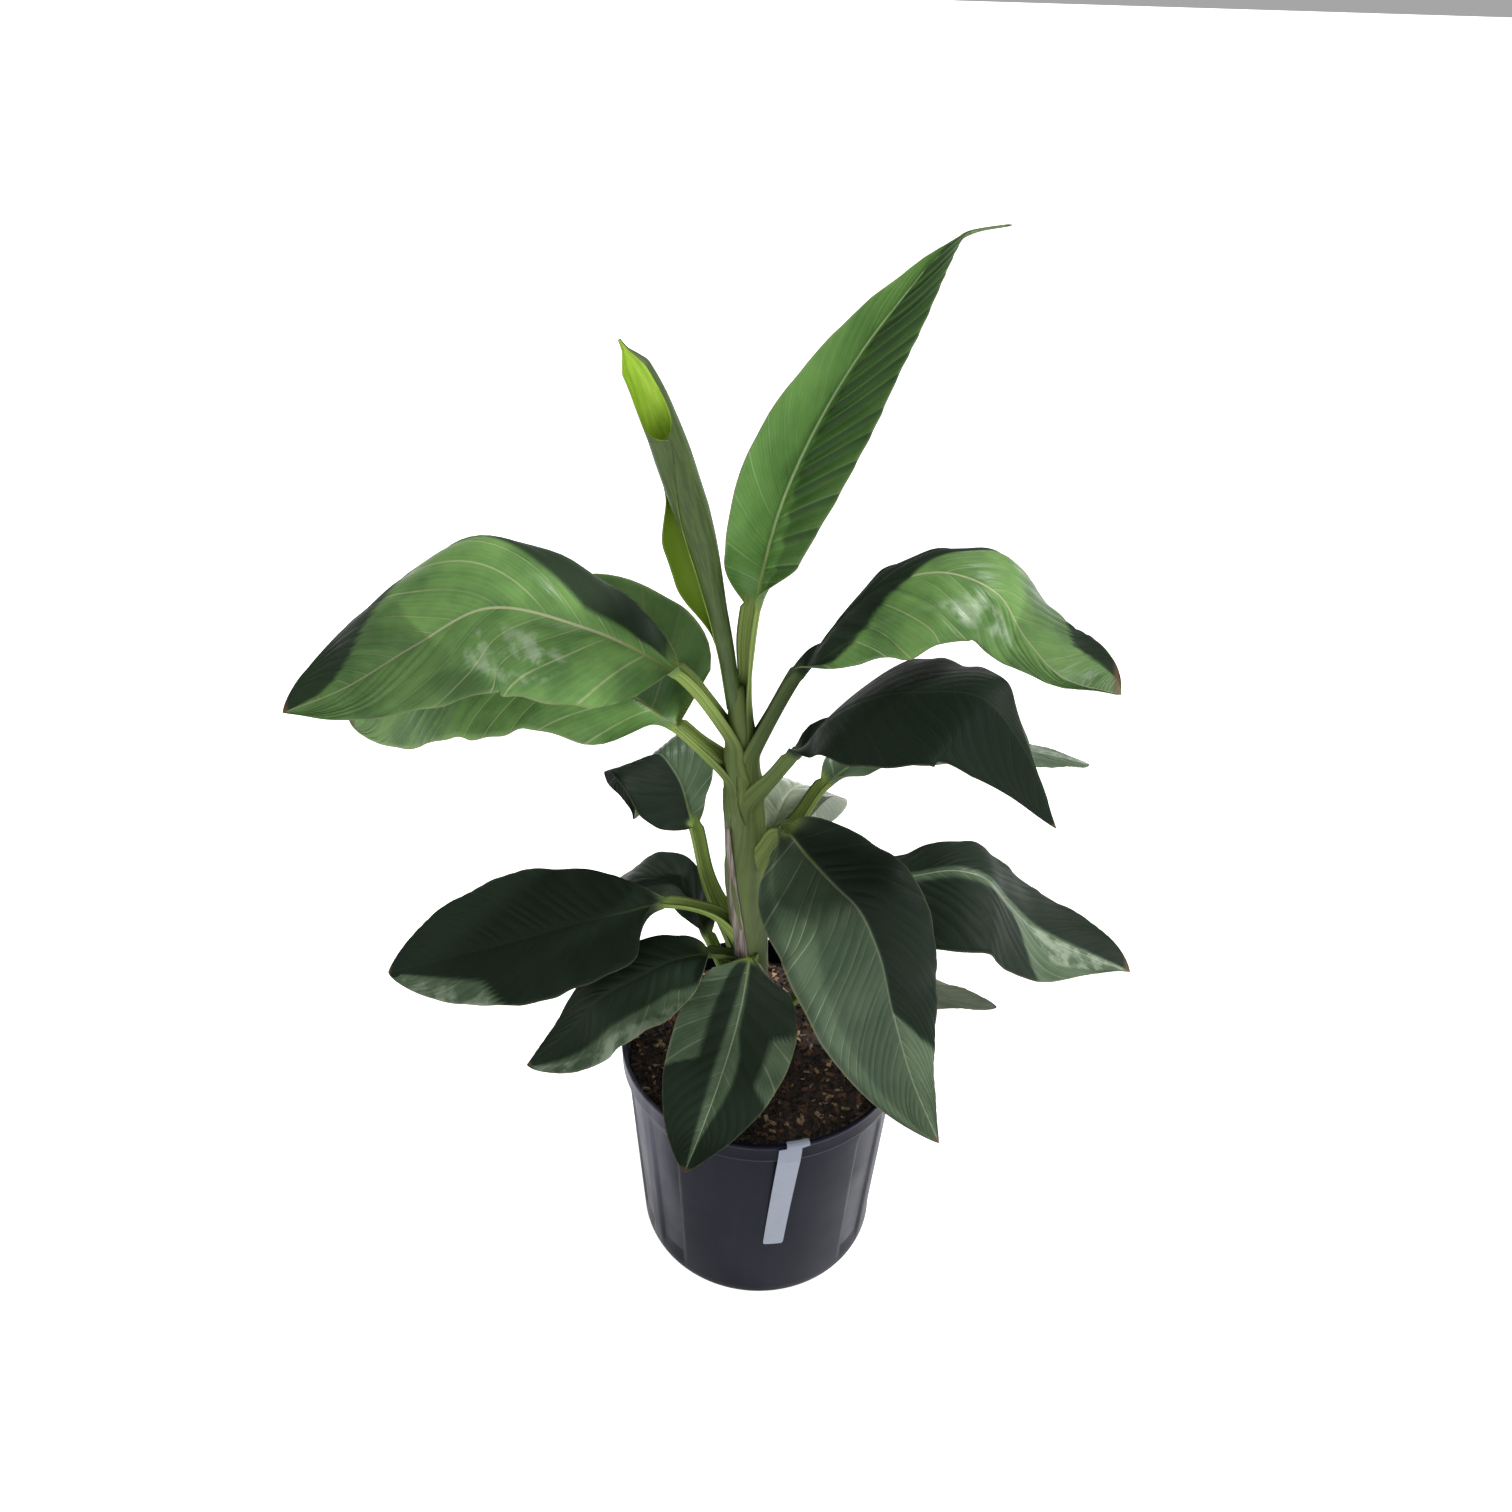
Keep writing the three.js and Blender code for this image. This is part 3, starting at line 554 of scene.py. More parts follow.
def leaf_skin(name, blade, deep, under, rib, gloss, veins, thick):
    """Waxy leaf skin: pale midrib and veins, streaks between them, a duller underside.

    gloss is its shine, veins is how strongly its veins show, and thick is how broad they are.
    It is painted in shade where a point is marked dark, and with a pale shine below zero.
    """
    material, surface = new_material(name, 0.4, Specular_IOR_Level=gloss)
    place = spot(material)
    vein = laid_on(material, "vein")
    skin = laid_on(material, "skin")
    edge = laid_on(material, "edge")
    phase, _, ribs = put(material, "SeparateXYZ", {0: vein}).outputs
    stalk, below, sheath = put(material, "SeparateXYZ", {0: skin}).outputs
    out, dark, far = put(material, "SeparateXYZ", {0: edge}).outputs
    near_vein = reckon(material, "PINGPONG", phase, 0.5)
    fine_lines = reckon(material, "PINGPONG", reckon(material, "MULTIPLY", phase, 6.0), 0.5)
    streak = grain(material, stretch(material, vein, 1.3, 14.0, 0.0), 1.0, 5, 0.65)
    patch = grain(material, place, 22, 4)
    vein_line = span(material, near_vein, 0.25 * thick, thick, veins, 0)
    vein_mark = reckon(material, "MULTIPLY", vein_line, span(material, streak, 0.36, 0.6, 0.15))
    mixed = reckon(material, "ADD", reckon(material, "MULTIPLY", streak, 0.35),
                   reckon(material, "MULTIPLY", patch, 0.65))
    face = tint(material, span(material, mixed, 0.36, 0.64), deep, blade)
    back = tint(material, span(material, mixed, 0.3, 0.7), under, blade)
    both = tint(material, below, face, back)
    # Painted shade: where a point is marked dark, the blade and its ribs deepen towards shadow
    # colours.
    both = tint(material, dark, both, PAINTED_SHADE_BLADE)
    pale = tint(material, reckon(material, "MULTIPLY", dark, 1.3), rib, PAINTED_SHADE_RIB)
    both = tint(material, span(material, fine_lines, 0.0, 0.3, 0.06, 0), both, pale)
    both = tint(material, vein_mark, both, pale)
    both = tint(material, span(material, ribs, 0.3, 1.0, 0.8, 0), both, pale)
    cloud = span(material, grain(material, place, 48, 4, 0.6), 0.42, 0.62)
    # A painted shine, in clouds, where the mark of shade is below zero.
    painted_shine = reckon(material, "MULTIPLY", cloud, reckon(material, "MULTIPLY", dark, -1.0))
    both = tint(material, painted_shine, both, LEAF_PAINTED_SHINE)
    margin = reckon(material, "MULTIPLY", span(material, out, 0.97, 0.995, 0, 0.6),
                    span(material, dark, 0, 1, 1, 0.3))
    both = tint(material, margin, both, MARGIN_PALE)
    withered = reckon(material, "ADD", far, span(material, patch, 0.3, 0.7, -0.008, 0.008))
    both = tint(material, span(material, withered, 0.978, 0.990, 0, 0.8), both, TIP_DRY)
    fibre = grain(material, stretch(material, vein, 0.12, 700.0, 0.0), 1.0, 3)
    lime = tint(material, span(material, fibre, 0.3, 0.7), STALK_SHADE, STALK_LIME)
    # Painted shade on the stalk where it is marked dark.
    lime = tint(material, dark, lime, STALK_PAINTED_SHADE)
    z = put(material, "SeparateXYZ", {0: place}).outputs[2]
    blotch = reckon(material, "ADD", z, span(material, grain(material, place, 45, 4), 0.3, 0.7,
                                             -0.05, 0.05))
    green = tint(material, span(material, blotch, 0.58, 0.40), SHEATH_GREEN, SHEATH_PALE)
    green = tint(material, span(material, blotch, 0.34, 0.24), green, SHEATH_BASE)
    wrap = tint(material, span(material, fibre, 0.3, 0.7, 0.0, 0.45), green, STALK_SHADE)
    lime = tint(material, sheath, lime, wrap)
    lime = tint(material, span(material, out, 0.95, 0.99, 0, 0.6), lime, STALK_LINE)
    join(material, tint(material, stalk, both, lime), surface.inputs["Base Color"])
    matt = reckon(material, "ADD", below, reckon(material, "MAXIMUM", reckon(
        material, "MULTIPLY", dark, 2.4), stalk))
    rough = reckon(material, "ADD", span(material, mixed, 0.35, 0.65, 0.25, 0.46),
                   reckon(material, "MULTIPLY", matt, 0.12))
    join(material, rough, surface.inputs["Roughness"])
    pucker = grain(material, stretch(material, vein, 7.0, 90.0, 0.0), 1.0, 3)
    ripple = reckon(material, "ADD", reckon(material, "MULTIPLY", fine_lines, 0.12), pucker)
    flat_stalk = reckon(material, "SUBTRACT", 1.0, stalk)
    relief = reckon(material, "ADD", reckon(material, "MULTIPLY", ripple, flat_stalk),
                    reckon(material, "MULTIPLY", fibre, stalk))
    dent(material, surface, relief, 0.0007, 0.7)
    return material


LEAF_SKINS = {
    "young": leaf_skin("leaf_young", gloss=0.16, veins=0.35, thick=0.035, **LEAF_YOUNG),
    "grown": leaf_skin("leaf_grown", gloss=0.15, veins=0.60, thick=0.040, **LEAF_GROWN),
    "low": leaf_skin("leaf_low", gloss=0.13, veins=0.38, thick=0.070, **LEAF_LOW),
    "veined": leaf_skin("leaf_veined", gloss=0.13, veins=0.75, thick=0.060, **LEAF_LOW),
    "wan": leaf_skin("leaf_wan", gloss=0.20, veins=0.60, thick=0.060, **LEAF_WAN),
}
core_skin = core.data.attributes.new("skin", "FLOAT_VECTOR", "POINT")
core_skin.data.foreach_set("vector", [1.0, 0.0, 1.0] * len(core.data.vertices))
core.data.materials.append(LEAF_SKINS["grown"])
settle(core, "stem", "pseudostem")


def midrib_at(points, where):
    """The place and the run, in (reach, height), of the smooth line through points."""
    marks = marks_along(points)
    gaps = np.diff(marks)
    where = np.clip(where, 0, marks[-1])
    k = np.clip(np.searchsorted(marks, where, side="right") - 1, 0, len(gaps) - 1)
    ends = np.vstack((2 * points[0] - points[1], points, 2 * points[-1] - points[-2]))
    wide = np.concatenate((gaps[:1], gaps, gaps[-1:]))
    before, here, after = wide[k, None], wide[k + 1, None], wide[k + 2, None]
    p0, p1, p2, p3 = ends[k], ends[k + 1], ends[k + 2], ends[k + 3]
    m1 = ((p1 - p0) / before - (p2 - p0) / (before + here) + (p2 - p1) / here) * here
    m2 = ((p2 - p1) / here - (p3 - p1) / (here + after) + (p3 - p2) / after) * here
    t = ((where - marks[k]) / gaps[k])[:, None]
    place = ((2 * t ** 3 - 3 * t ** 2 + 1) * p1 + (t ** 3 - 2 * t ** 2 + t) * m1
             + (3 * t ** 2 - 2 * t ** 3) * p2 + (t ** 3 - t ** 2) * m2)
    run = ((6 * t ** 2 - 6 * t) * (p1 - p2) + (3 * t ** 2 - 4 * t + 1) * m1
           + (3 * t ** 2 - 2 * t) * m2)
    return place, run / np.linalg.norm(run, axis=1, keepdims=True)


def blade_share(s, widen, narrow, drip):
    """The share of its full width that half a blade has at s, from neck to tip."""
    q = np.clip(s / (1 - drip), 0, 1)
    widest = widen / (widen + narrow)
    return (q / widest) ** widen * ((1 - q) / (1 - widest)) ** narrow


def closed_ring(upper, under, grid_shape):
    """Rows that run over the upper side, back along the under side, and end on their start."""
    upper = upper.reshape(*grid_shape, 3)
    under = under.reshape(*grid_shape, 3)
    return np.concatenate((upper, under[:, ::-1], upper[:, :1]), axis=1)


def wrapped_grid(name, places, attributes):
    """A closed skin: a new grid, laid to places row by row, its last column on its first."""
    rows, columns = places.shape[:2]
    bpy.ops.mesh.primitive_grid_add(x_subdivisions=columns - 1, y_subdivisions=rows - 1)
    piece = bpy.context.object
    piece.name = name
    piece.data.vertices.foreach_set("co", places.ravel())
    for key, values in attributes.items():
        layer = piece.data.attributes.new(key, "FLOAT_VECTOR", "POINT")
        layer.data.foreach_set("vector", values.ravel())
    bpy.ops.object.mode_set(mode="EDIT")
    bpy.ops.mesh.select_all(action="SELECT")
    bpy.ops.mesh.remove_doubles(threshold=0.00001)
    bpy.ops.mesh.fill_holes(sides=0)
    bpy.ops.object.mode_set(mode="OBJECT")
    face_outward()
    bpy.ops.object.shade_smooth()
    return piece


def grow_leaf(name, heading, foot, width, stalk, blade, half, rise=((0, 0), (0, 0)),
              shape=((0.6, 0.7), (0.6, 0.7)), roll=0, drip=0, wave=3, waves=3, skin="low",
              shade=(), deep=0, bow=(0, 0), slant=0.3, spacing=13.0, fold=(0.9, 0.9),
              pleat=(0, 0), vein_rows=8, ripple=1.6, seed=1):
    """One leaf, from the source's rule: points are (reach, height) in its heading's plane.

    Of each pair, the first is the left half's. bow is how far a half rounds over, in degrees,
    fold is how high it swells between veins, and pleat is how high its veins stand in shingled
    ridges, whose creases get painted shade. shade lists the parts given painted shade, each with
    its depth and with rows of (share of the length, share across from, share across to), the
    left half being above zero and its margin at 1. A depth below zero paints a pale shine
    instead. deep is how much painted shade the stalk has.
    """
    chance = np.random.RandomState(seed)
    turn = math.radians(heading)
    outward = np.array([math.cos(turn), math.sin(turn), 0])
    leftward = np.array([-math.sin(turn), math.cos(turn), 0])
    base = np.array([stem_x(foot), 0, 0])
    points = np.array([[START_REACH, foot], *stalk, *blade], float)
    marks = marks_along(points)
    neck, whole = marks[len(stalk)], marks[-1]

    # Rows of the skin: down the sheath, along the stalk, then one bundle of rows a vein
    veins = [0.0]
    while veins[-1] < whole - neck:
        veins.append(veins[-1] + spacing * chance.uniform(0.55, 1.45))
    veins = np.array(veins)
    last_vein = float(np.interp(whole - neck, veins, np.arange(len(veins))))
    phases = np.linspace(0, last_vein, int(last_vein * vein_rows) + 1)
    blade_rows = neck + np.interp(phases, np.arange(len(veins)), veins)
    sheath_length = min(SHEATH_LENGTH, foot - STEM_FOOT)
    sheath_rows = np.linspace(-sheath_length, 0, SHEATH_ROWS, endpoint=False)
    stalk_rows = np.linspace(0, neck, STALK_ROWS, endpoint=False)
    rows = np.concatenate((sheath_rows, stalk_rows, blade_rows))
    before_neck = (np.concatenate((sheath_rows, stalk_rows)) - neck) / spacing
    row_phase = np.concatenate((before_neck, phases))

    spread_out = (np.arange(HALF_COLUMNS + 1) / HALF_COLUMNS) ** COLUMN_CROWD
    u_line = np.concatenate((-spread_out[:0:-1], spread_out))
    d0, u = np.meshgrid(rows, u_line, indexing="ij")
    phase = np.repeat(row_phase, len(u_line))
    size = np.abs(u)
    way = np.where(u >= 0, 1.0, -1.0)

    # Veins run forward: a row's outer points lie further along the blade than its middle
    s0 = np.clip((d0 - neck) / (whole - neck), 0, 1)
    s = np.clip(s0 + slant * 4 * s0 * (1 - s0) * size ** 1.1, 0, 1)
    d = np.where(d0 < neck, d0, neck + s * (whole - neck))
    place, run = midrib_at(points, d.ravel())
    along = run[:, :1] * outward + run[:, 1:] * UP
    middle = base + place[:, :1] * outward + place[:, 1:] * UP
    s, u_flat, size, way = s.ravel(), u.ravel(), size.ravel(), way.ravel()
    spread = smooth(s / NECK)
    spin = math.radians(roll) * spread[:, None]
    side = np.cos(spin) * leftward + np.sin(spin) * np.cross(along, leftward)
    upper = np.cross(along, side)

    left = way > 0
    blade_half = np.where(left, half[0] * blade_share(s, *shape[0], drip),
                          half[1] * blade_share(s, *shape[1], drip))
    tip = np.clip((1 - s) / 0.015, 0.05, 1)
    stalk_half = (width / 2 + 1 - STALK_WALL) * STALK_CURL * (1 - smooth(s / STALK_FADE))
    full = np.hypot(blade_half, stalk_half + TIP_HALF * tip)
    at_neck = np.where(left, rise[0][0], rise[1][0])
    at_tip = np.where(left, rise[0][1], rise[1][1])
    rounding = np.radians(np.where(left, *bow)) * smooth(s / 0.3) * smooth((1 - s) / 0.3)
    lift = spread * np.radians(at_neck + (at_tip - at_neck) * s) - rounding / 2
    curl = (1 - spread) * STALK_CURL + rounding
    curl = np.where(np.abs(curl) < 1e-4, 1e-4, curl)
    angle = lift + curl * size
    over = (np.sin(angle) - np.sin(lift)) / curl
    up = (np.cos(lift) - np.cos(angle)) / curl
    swing = np.sin(2 * np.pi * waves * s + WAVE_APART * way)
    sweep = wave * swing * spread * np.sqrt(1 - s) * size ** 2
    frill = np.sin(2 * np.pi * (2.3 * waves + 1.1 * way) * s + seed) * size ** 3
    sweep += ripple * frill * spread * np.sqrt(1 - s)
    facing = side * (-way * np.sin(angle))[:, None] + upper * np.cos(angle)[:, None]
    on = middle + side * (way * full * over)[:, None] + upper * (full * up + sweep)[:, None]

    # The blade swells between its veins, and the midrib is a channel above and a keel below
    part = phase - np.floor(phase)
    swell = np.sin(np.pi * part) ** 0.8 * smooth(size / 0.18) * spread * smooth((1 - s) / 0.1)
    swell *= np.where(left, *fold) * (1 - 0.35 * size)
    ridge = np.where(part < 0.68, 1 - smooth(part / 0.68), smooth((part - 0.68) / 0.32))
    ridge *= smooth(size / 0.25) * (1 - 0.8 * size ** 4) * spread * smooth((1 - s) / 0.25)
    swell += np.where(left, *pleat) * ridge
    across = size * full
    rib_half = RIB_SHARE * width * (1 - 0.72 * s) + 0.3
    groove = GROOVE_DEPTH * (1 - s) * spread * np.exp(-(across / (rib_half * 1.3)) ** 2)
    on += facing * (swell - groove)[:, None]
    keel_half = width * (0.30 - 0.20 * s)
    keel = KEEL_SHARE * width * (1 - s) ** 0.8 * np.exp(-(across / keel_half) ** 2)
    gutter = STALK_WALL * (1 - 0.6 * size ** 4)
    thin = np.minimum(BLADE_WALL, 0.3 + full * 0.4) * (1 - 0.35 * size)
    wall = thin + (keel - thin * 0.2) * spread + (gutter - thin) * (1 - spread)
    off = on - facing * wall[:, None]

    # The sheath hugs the stem, deeper under each older sheath. Where it leaves the stem it
    # stands away by its outer line, and draws in from the stem's width to the stalk's.
    down = d.ravel()
    z = np.where(down < 0, foot + down, place[:, 1] - STALK_WALL * upper[:, 2])
    layers = sum(smooth((other + 6 - z) / 16) for other in FEET if other < foot)
    shift = (stem_x(z) - stem_x(foot)) * math.cos(turn)
    surface = stem_radius(z, turn) - SHEATH_LAYER * layers
    stand = place[:, 0] - STALK_WALL * (upper @ outward)
    apart = stand - surface - shift
    reach = surface + shift + np.where(down < 0, 0, (apart + np.sqrt(apart ** 2 + 9)) / 2 - 1.0)
    leave = smooth(down / 45)[:, None]
    stem_way = np.array([-STEM_LEAN, 0, 1.0])
    line = stem_way * (1 - leave) + along * leave
    line /= np.linalg.norm(line, axis=1, keepdims=True)
    inward = np.cross(line, leftward)
    slim = smooth(down / (0.8 * neck))
    stalk_outer = (width / 2 + 1 - STALK_WALL) + TIP_HALF / STALK_CURL + STALK_WALL
    bend = surface * (1 - slim) + stalk_outer * slim
    wrap = np.radians(92 + 13 * slim + 76 * smooth(-down / 90))
    hug = u_flat * wrap
    hub = base + outward * reach[:, None] + UP * z[:, None]
    ray = leftward * np.sin(hug)[:, None] - inward * np.cos(hug)[:, None]
    hub = hub + inward * bend[:, None]
    stem_ridge = stem_radius(z, turn + hug) - stem_radius(z, turn)
    outside = bend + stem_ridge * (1 - leave[:, 0])
    sheath_wall = SHEATH_WALL * (1 - 0.3 * size)
    inside = outside - (sheath_wall * (1 - slim) + gutter * slim)
    stalk_part = (down < neck)[:, None]
    top = np.where(stalk_part, hub + ray * inside[:, None], on)
    bottom = np.where(stalk_part, hub + ray * outside[:, None], off)
    clasp = 1 - smooth(down / 60)

    # What the skin reads at each point: its veins, its side and part, its margin, painted shade and
    # shine
    stalky = (1 - smooth(s / 0.25)) * (1 - smooth(across / (1.5 * rib_half)))
    stalky = np.maximum(stalky, 1 - smooth((down - neck) / 9))
    # Painted shade over the listed parts; a negative depth paints a pale shine instead.
    depth = np.zeros_like(s)
    for level, rows_of_it in shade:
        shares, starts, ends = np.array(rows_of_it, float).T
        part_of_it = smooth((u_flat - np.interp(s, shares, starts)) / SHADE_BLUR + 0.5)
        part_of_it *= smooth((np.interp(s, shares, ends) - u_flat) / SHADE_BLUR + 0.5)
        shaded = level * part_of_it
        depth = np.maximum(depth, shaded) if level > 0 else depth + shaded
    # Painted shade in the crease on the steep side of each pleat.
    crease_shade = smooth((part - 0.62) / 0.25) * smooth((1 - part) / 0.06) * smooth(size / 0.1)
    crease_shade *= np.where(left, *pleat) * spread * smooth((1 - s) / 0.25)
    depth += CREASE_PAINTED_SHADE * crease_shade
    # The stalk takes deep as its painted shade, and the blade's own marks take over just past the
    # neck.
    depth = deep + (depth - deep) * smooth(s / 0.05)
    top_skin = np.stack((stalky, np.zeros_like(z), clasp), axis=1)
    skins = {"vein": np.stack((phase, across * MM, across / rib_half), axis=1),
             "edge": np.stack((size, depth, s), axis=1)}
    places = closed_ring(top * MM, bottom * MM, u.shape)
    attributes = {key: closed_ring(values, values, u.shape) for key, values in skins.items()}
    attributes["skin"] = closed_ring(top_skin, top_skin + np.array([0, 1.0, 0]), u.shape)
    piece = wrapped_grid("blade_" + name, places, attributes)
    piece.data.materials.append(LEAF_SKINS[skin])
    settle(piece, "leaf", name)


# Each leaf's shade list paints shade over its parts that lie in shadow, and a pale shine where
# negative.
grow_leaf("leaf_upright", 40, 600, 15, [[15, 700]],
          [[35, 773], [77, 843], [138, 906], [210, 953], [265, 956]],
          (48, 60), [[60, 75], [30, 25]], [[0.62, 1.45], [0.7, 1.1]], roll=22, drip=0.13,
          wave=1.5, skin="young", slant=0.18, spacing=19, fold=(0.4, 0.4), pleat=(0, 4.0),
          vein_rows=12, ripple=0.8, seed=2,
          shade=[(0.38, [(0, -1.2, -0.7), (0.3, -1.2, -0.1), (1, -1.2, -0.1)])])
grow_leaf("leaf_left_high", 190, 575, 16, [[55, 647]],
          [[125, 692], [195, 711], [250, 683], [310, 648], [355, 631]],
          (68, 88), [[-55, -45], [23, 16]], [[0.6, 1], [0.75, 0.6]], wave=1, skin="grown",
          bow=(-35, -85), slant=0.4, spacing=27, fold=(1.8, 1.3), seed=3,
          shade=[(0.92, [(0, -1.2, -0.5), (0.1, -1.2, -0.25), (0.25, -1.2, -0.2),
                         (0.36, -1.2, -0.5), (0.46, -1.2, -0.9), (0.6, -1.2, -0.9),
                         (0.7, -1.2, -0.6), (0.8, -1.2, -0.32), (0.9, -1.2, -0.08),
                         (1, -1.2, 0)]),
                 (0.34, [(0.5, 1.2, 1.3), (0.66, -0.5, 1.2), (1, -0.5, 1.2)]),
                 (-0.32, [(0.24, 0.6, 0.6), (0.34, 0.25, 0.85), (0.5, 0.2, 0.8),
                          (0.62, 0.5, 0.5)])])
grow_leaf("leaf_back_left", 165, 535, 14, [[60, 581]],
          [[107, 611], [160, 640], [234, 635], [318, 581], [379, 530]],
          (88, 84), [[-40, -45], [85, -45]], [[0.7, 0.7], [0.25, 1.6]], skin="grown",
          bow=(-25, 0), spacing=18, fold=(1.3, 1.3), seed=4,
          shade=[(0.55, [(0, -1.2, 0), (1, -1.2, 0)])])
grow_leaf("leaf_right_high", -10, 550, 16, [[46, 648]],
          [[74, 700], [103, 731], [150, 748], [188, 736], [214, 702], [247, 672], [291, 663]],
          (68, 65), [[-15, 20], [-38, -36]], [[1.4, 0.45], [1.15, 1.9]], skin="grown",
          deep=0.9, bow=(-40, -25), spacing=20, fold=(1.3, 1.7), seed=5,
          shade=[(0.97, [(0, -1.2, 1.2), (0.08, -0.8, 1.2), (0.25, -0.45, 1.2),
                         (0.38, -0.05, 1.2), (0.44, 0.35, 1.2), (0.55, 0.9, 1.2),
                         (0.62, 1.2, 1.3), (0.8, 1.2, 1.3), (0.86, 0.6, 1.3), (1, 0.5, 1.3)]),
                 (0.3, [(0.62, 1.2, 1.3), (0.74, -1.2, 1.2), (1, -1.2, 1.2)]),
                 (-0.3, [(0.45, -0.5, -0.5), (0.55, -0.75, -0.2), (0.66, -0.7, -0.3),
                         (0.74, -0.5, -0.5)])])
grow_leaf("leaf_right_mid", -35, 510, 15, [[51, 585]],
          [[77, 629], [116, 664], [154, 682], [206, 693], [235, 670], [272, 612]],
          (80, 68), [[4, -12], [-25, -35]], [[1.3, 2.6], [1, 1.1]],
          deep=0.75, bow=(-30, 10), spacing=16, fold=(0.4, 0.4), seed=6,
          shade=[(0.97, [(0, -1.2, 1.3), (0.7, -1.2, 1.3), (0.78, -1.2, 0.6),
                         (0.92, -1.2, 0.55), (1, -1.2, 1.3)])])
grow_leaf("leaf_right_back", 22, 430, 12, [[44, 478], [72, 521]],
          [[100, 540], [165, 546], [235, 530], [300, 506], [352, 483]],
          (50, 30), [[-10, -10], [-10, -10]], seed=7)
grow_leaf("leaf_back", 64, 370, 11, [[36, 462]],
          [[66, 486], [100, 478], [126, 450], [146, 402]],
          (34, 42), waves=2, skin="wan", seed=8)
grow_leaf("leaf_left_mid", 143, 290, 12, [[27, 342], [60, 397], [78, 460]],
          [[96, 506], [115, 520], [140, 495], [152, 430]],
          (66, 42), [[12, 0], [25, -10]], [[0.7, 1.6], [0.7, 0.7]], waves=2, spacing=11,
          seed=9, shade=[(0.97, [(0, 0, 1.2), (1, 0, 1.2)])])
grow_leaf("leaf_left_low", 183, 330, 10, [[17, 362], [38, 393], [81, 406]],
          [[124, 395], [231, 359], [340, 325]],
          (68, 74), shape=[[0.52, 0.75], [0.9, 0.75]], roll=-20, bow=(-15, -15), seed=10,
          shade=[(0.93, [(0, -1.2, 1.2), (0.55, -1.2, 1.2), (0.65, -1.2, 0.6),
                         (0.95, -1.2, 0.35), (1, -1.2, 1.2)]),
                 (-0.25, [(0.55, 1.1, 1.1), (0.66, 0.75, 1.1), (0.93, 0.5, 1.1),
                          (1, 1.1, 1.1)])])
grow_leaf("leaf_left_low_back", 160, 245, 11, [[54, 351]],
          [[69, 387], [87, 405], [115, 401], [165, 355], [205, 288]],
          (27, 42), wave=2, waves=2, seed=11,
          shade=[(0.9, [(0, -1.2, 1.2), (1, -1.2, 1.2)])])
grow_leaf("leaf_left_front", 205, 305, 10, [[20, 345], [48, 362]],
          [[75, 366], [113, 357], [152, 343], [178, 317], [222, 290]],
          (56, 36), [[-10, -10], [10, 10]], [[0.6, 0.7], [0.6, 1.1]], waves=2,
          deep=0.8, bow=(35, -20), seed=12,
          shade=[(0.85, [(0, -1.2, 1.2), (0.25, -1.2, 0.55), (1, -1.2, 0.5)]),
                 (-0.28, [(0.15, 1.1, 1.1), (0.35, 0.7, 1.1), (0.8, 0.65, 1.1),
                          (1, 0.6, 1.1)])])
grow_leaf("leaf_front", 251, 265, 9, [[21, 357]],
          [[39, 320], [55, 300], [103, 268], [176, 242]],
          (60, 58), [[10, 0], [0, 0]], [[0.5, 0.9], [0.62, 0.8]], wave=2, waves=2,
          bow=(-15, -30), seed=13,
          shade=[(0.88, [(0, -0.5, -0.1), (0.5, -0.45, -0.15), (0.6, -1.2, -0.15),
                         (1, -1.2, -0.12)]),
                 (0.88, [(0, 0.05, 1.2), (0.26, 0.05, 1.2), (0.34, 0.06, 0.62),
                         (0.45, 0.2, 0.62), (0.56, 0.24, 0.62), (0.66, 0.22, 1.2),
                         (0.85, 0.08, 1.2), (1, 0, 1.2)])])
grow_leaf("leaf_right_front", -45, 410, 15, [[24, 481], [43, 509]],
          [[70, 498], [99, 487], [127, 478], [150, 451], [172, 398], [201, 338], [236, 290]],
          (56, 80), shape=[[0.5, 1.1], [0.5, 0.9]], roll=20, wave=2,
          skin="veined", deep=0.5, bow=(-45, -25), spacing=11, fold=(1.0, 1.2), seed=14,
          shade=[(0.97, [(0, 0, 1.2), (0.6, 0, 1.2), (0.7, 0.5, 1.2), (0.78, 1.2, 1.3),
                         (1, 1.2, 1.3)]),
                 (0.45, [(0.42, -1.2, 0), (0.5, -1.2, 0), (0.9, -1.2, 0)]),
                 (-0.35, [(0.14, -0.8, -0.7), (0.24, -0.9, -0.5), (0.42, -0.9, -0.7)])])
grow_leaf("leaf_right_low", 0, 390, 11, [[30, 435]],
          [[88, 442], [137, 443], [186, 451], [210, 443], [232, 417], [261, 386], [318, 354],
           [359, 337]],
          (62, 88), [[-9, 10], [-14, -12]], [[1.2, 0.5], [1.2, 1.5]], wave=2,
          bow=(-20, -30), spacing=16, seed=15,
          shade=[(0.93, [(0, 0.1, 1.2), (1, 0.1, 1.2)]),
                 (0.93, [(0, -1.2, -0.1), (0.6, -1.2, -0.12), (0.68, -1.2, -0.75),
                         (0.75, -1.3, -1.2)]),
                 (-0.35, [(0.66, 0, 0), (0.75, -0.6, 0.1), (0.92, -0.8, 0.1),
                          (1, -0.8, 0.1)])])
grow_leaf("leaf_right_low_back", 3, 250, 9, [[60, 300]],
          [[109, 302], [173, 290], [235, 275]],
          (28, 18), wave=2, waves=2, skin="wan", seed=16)

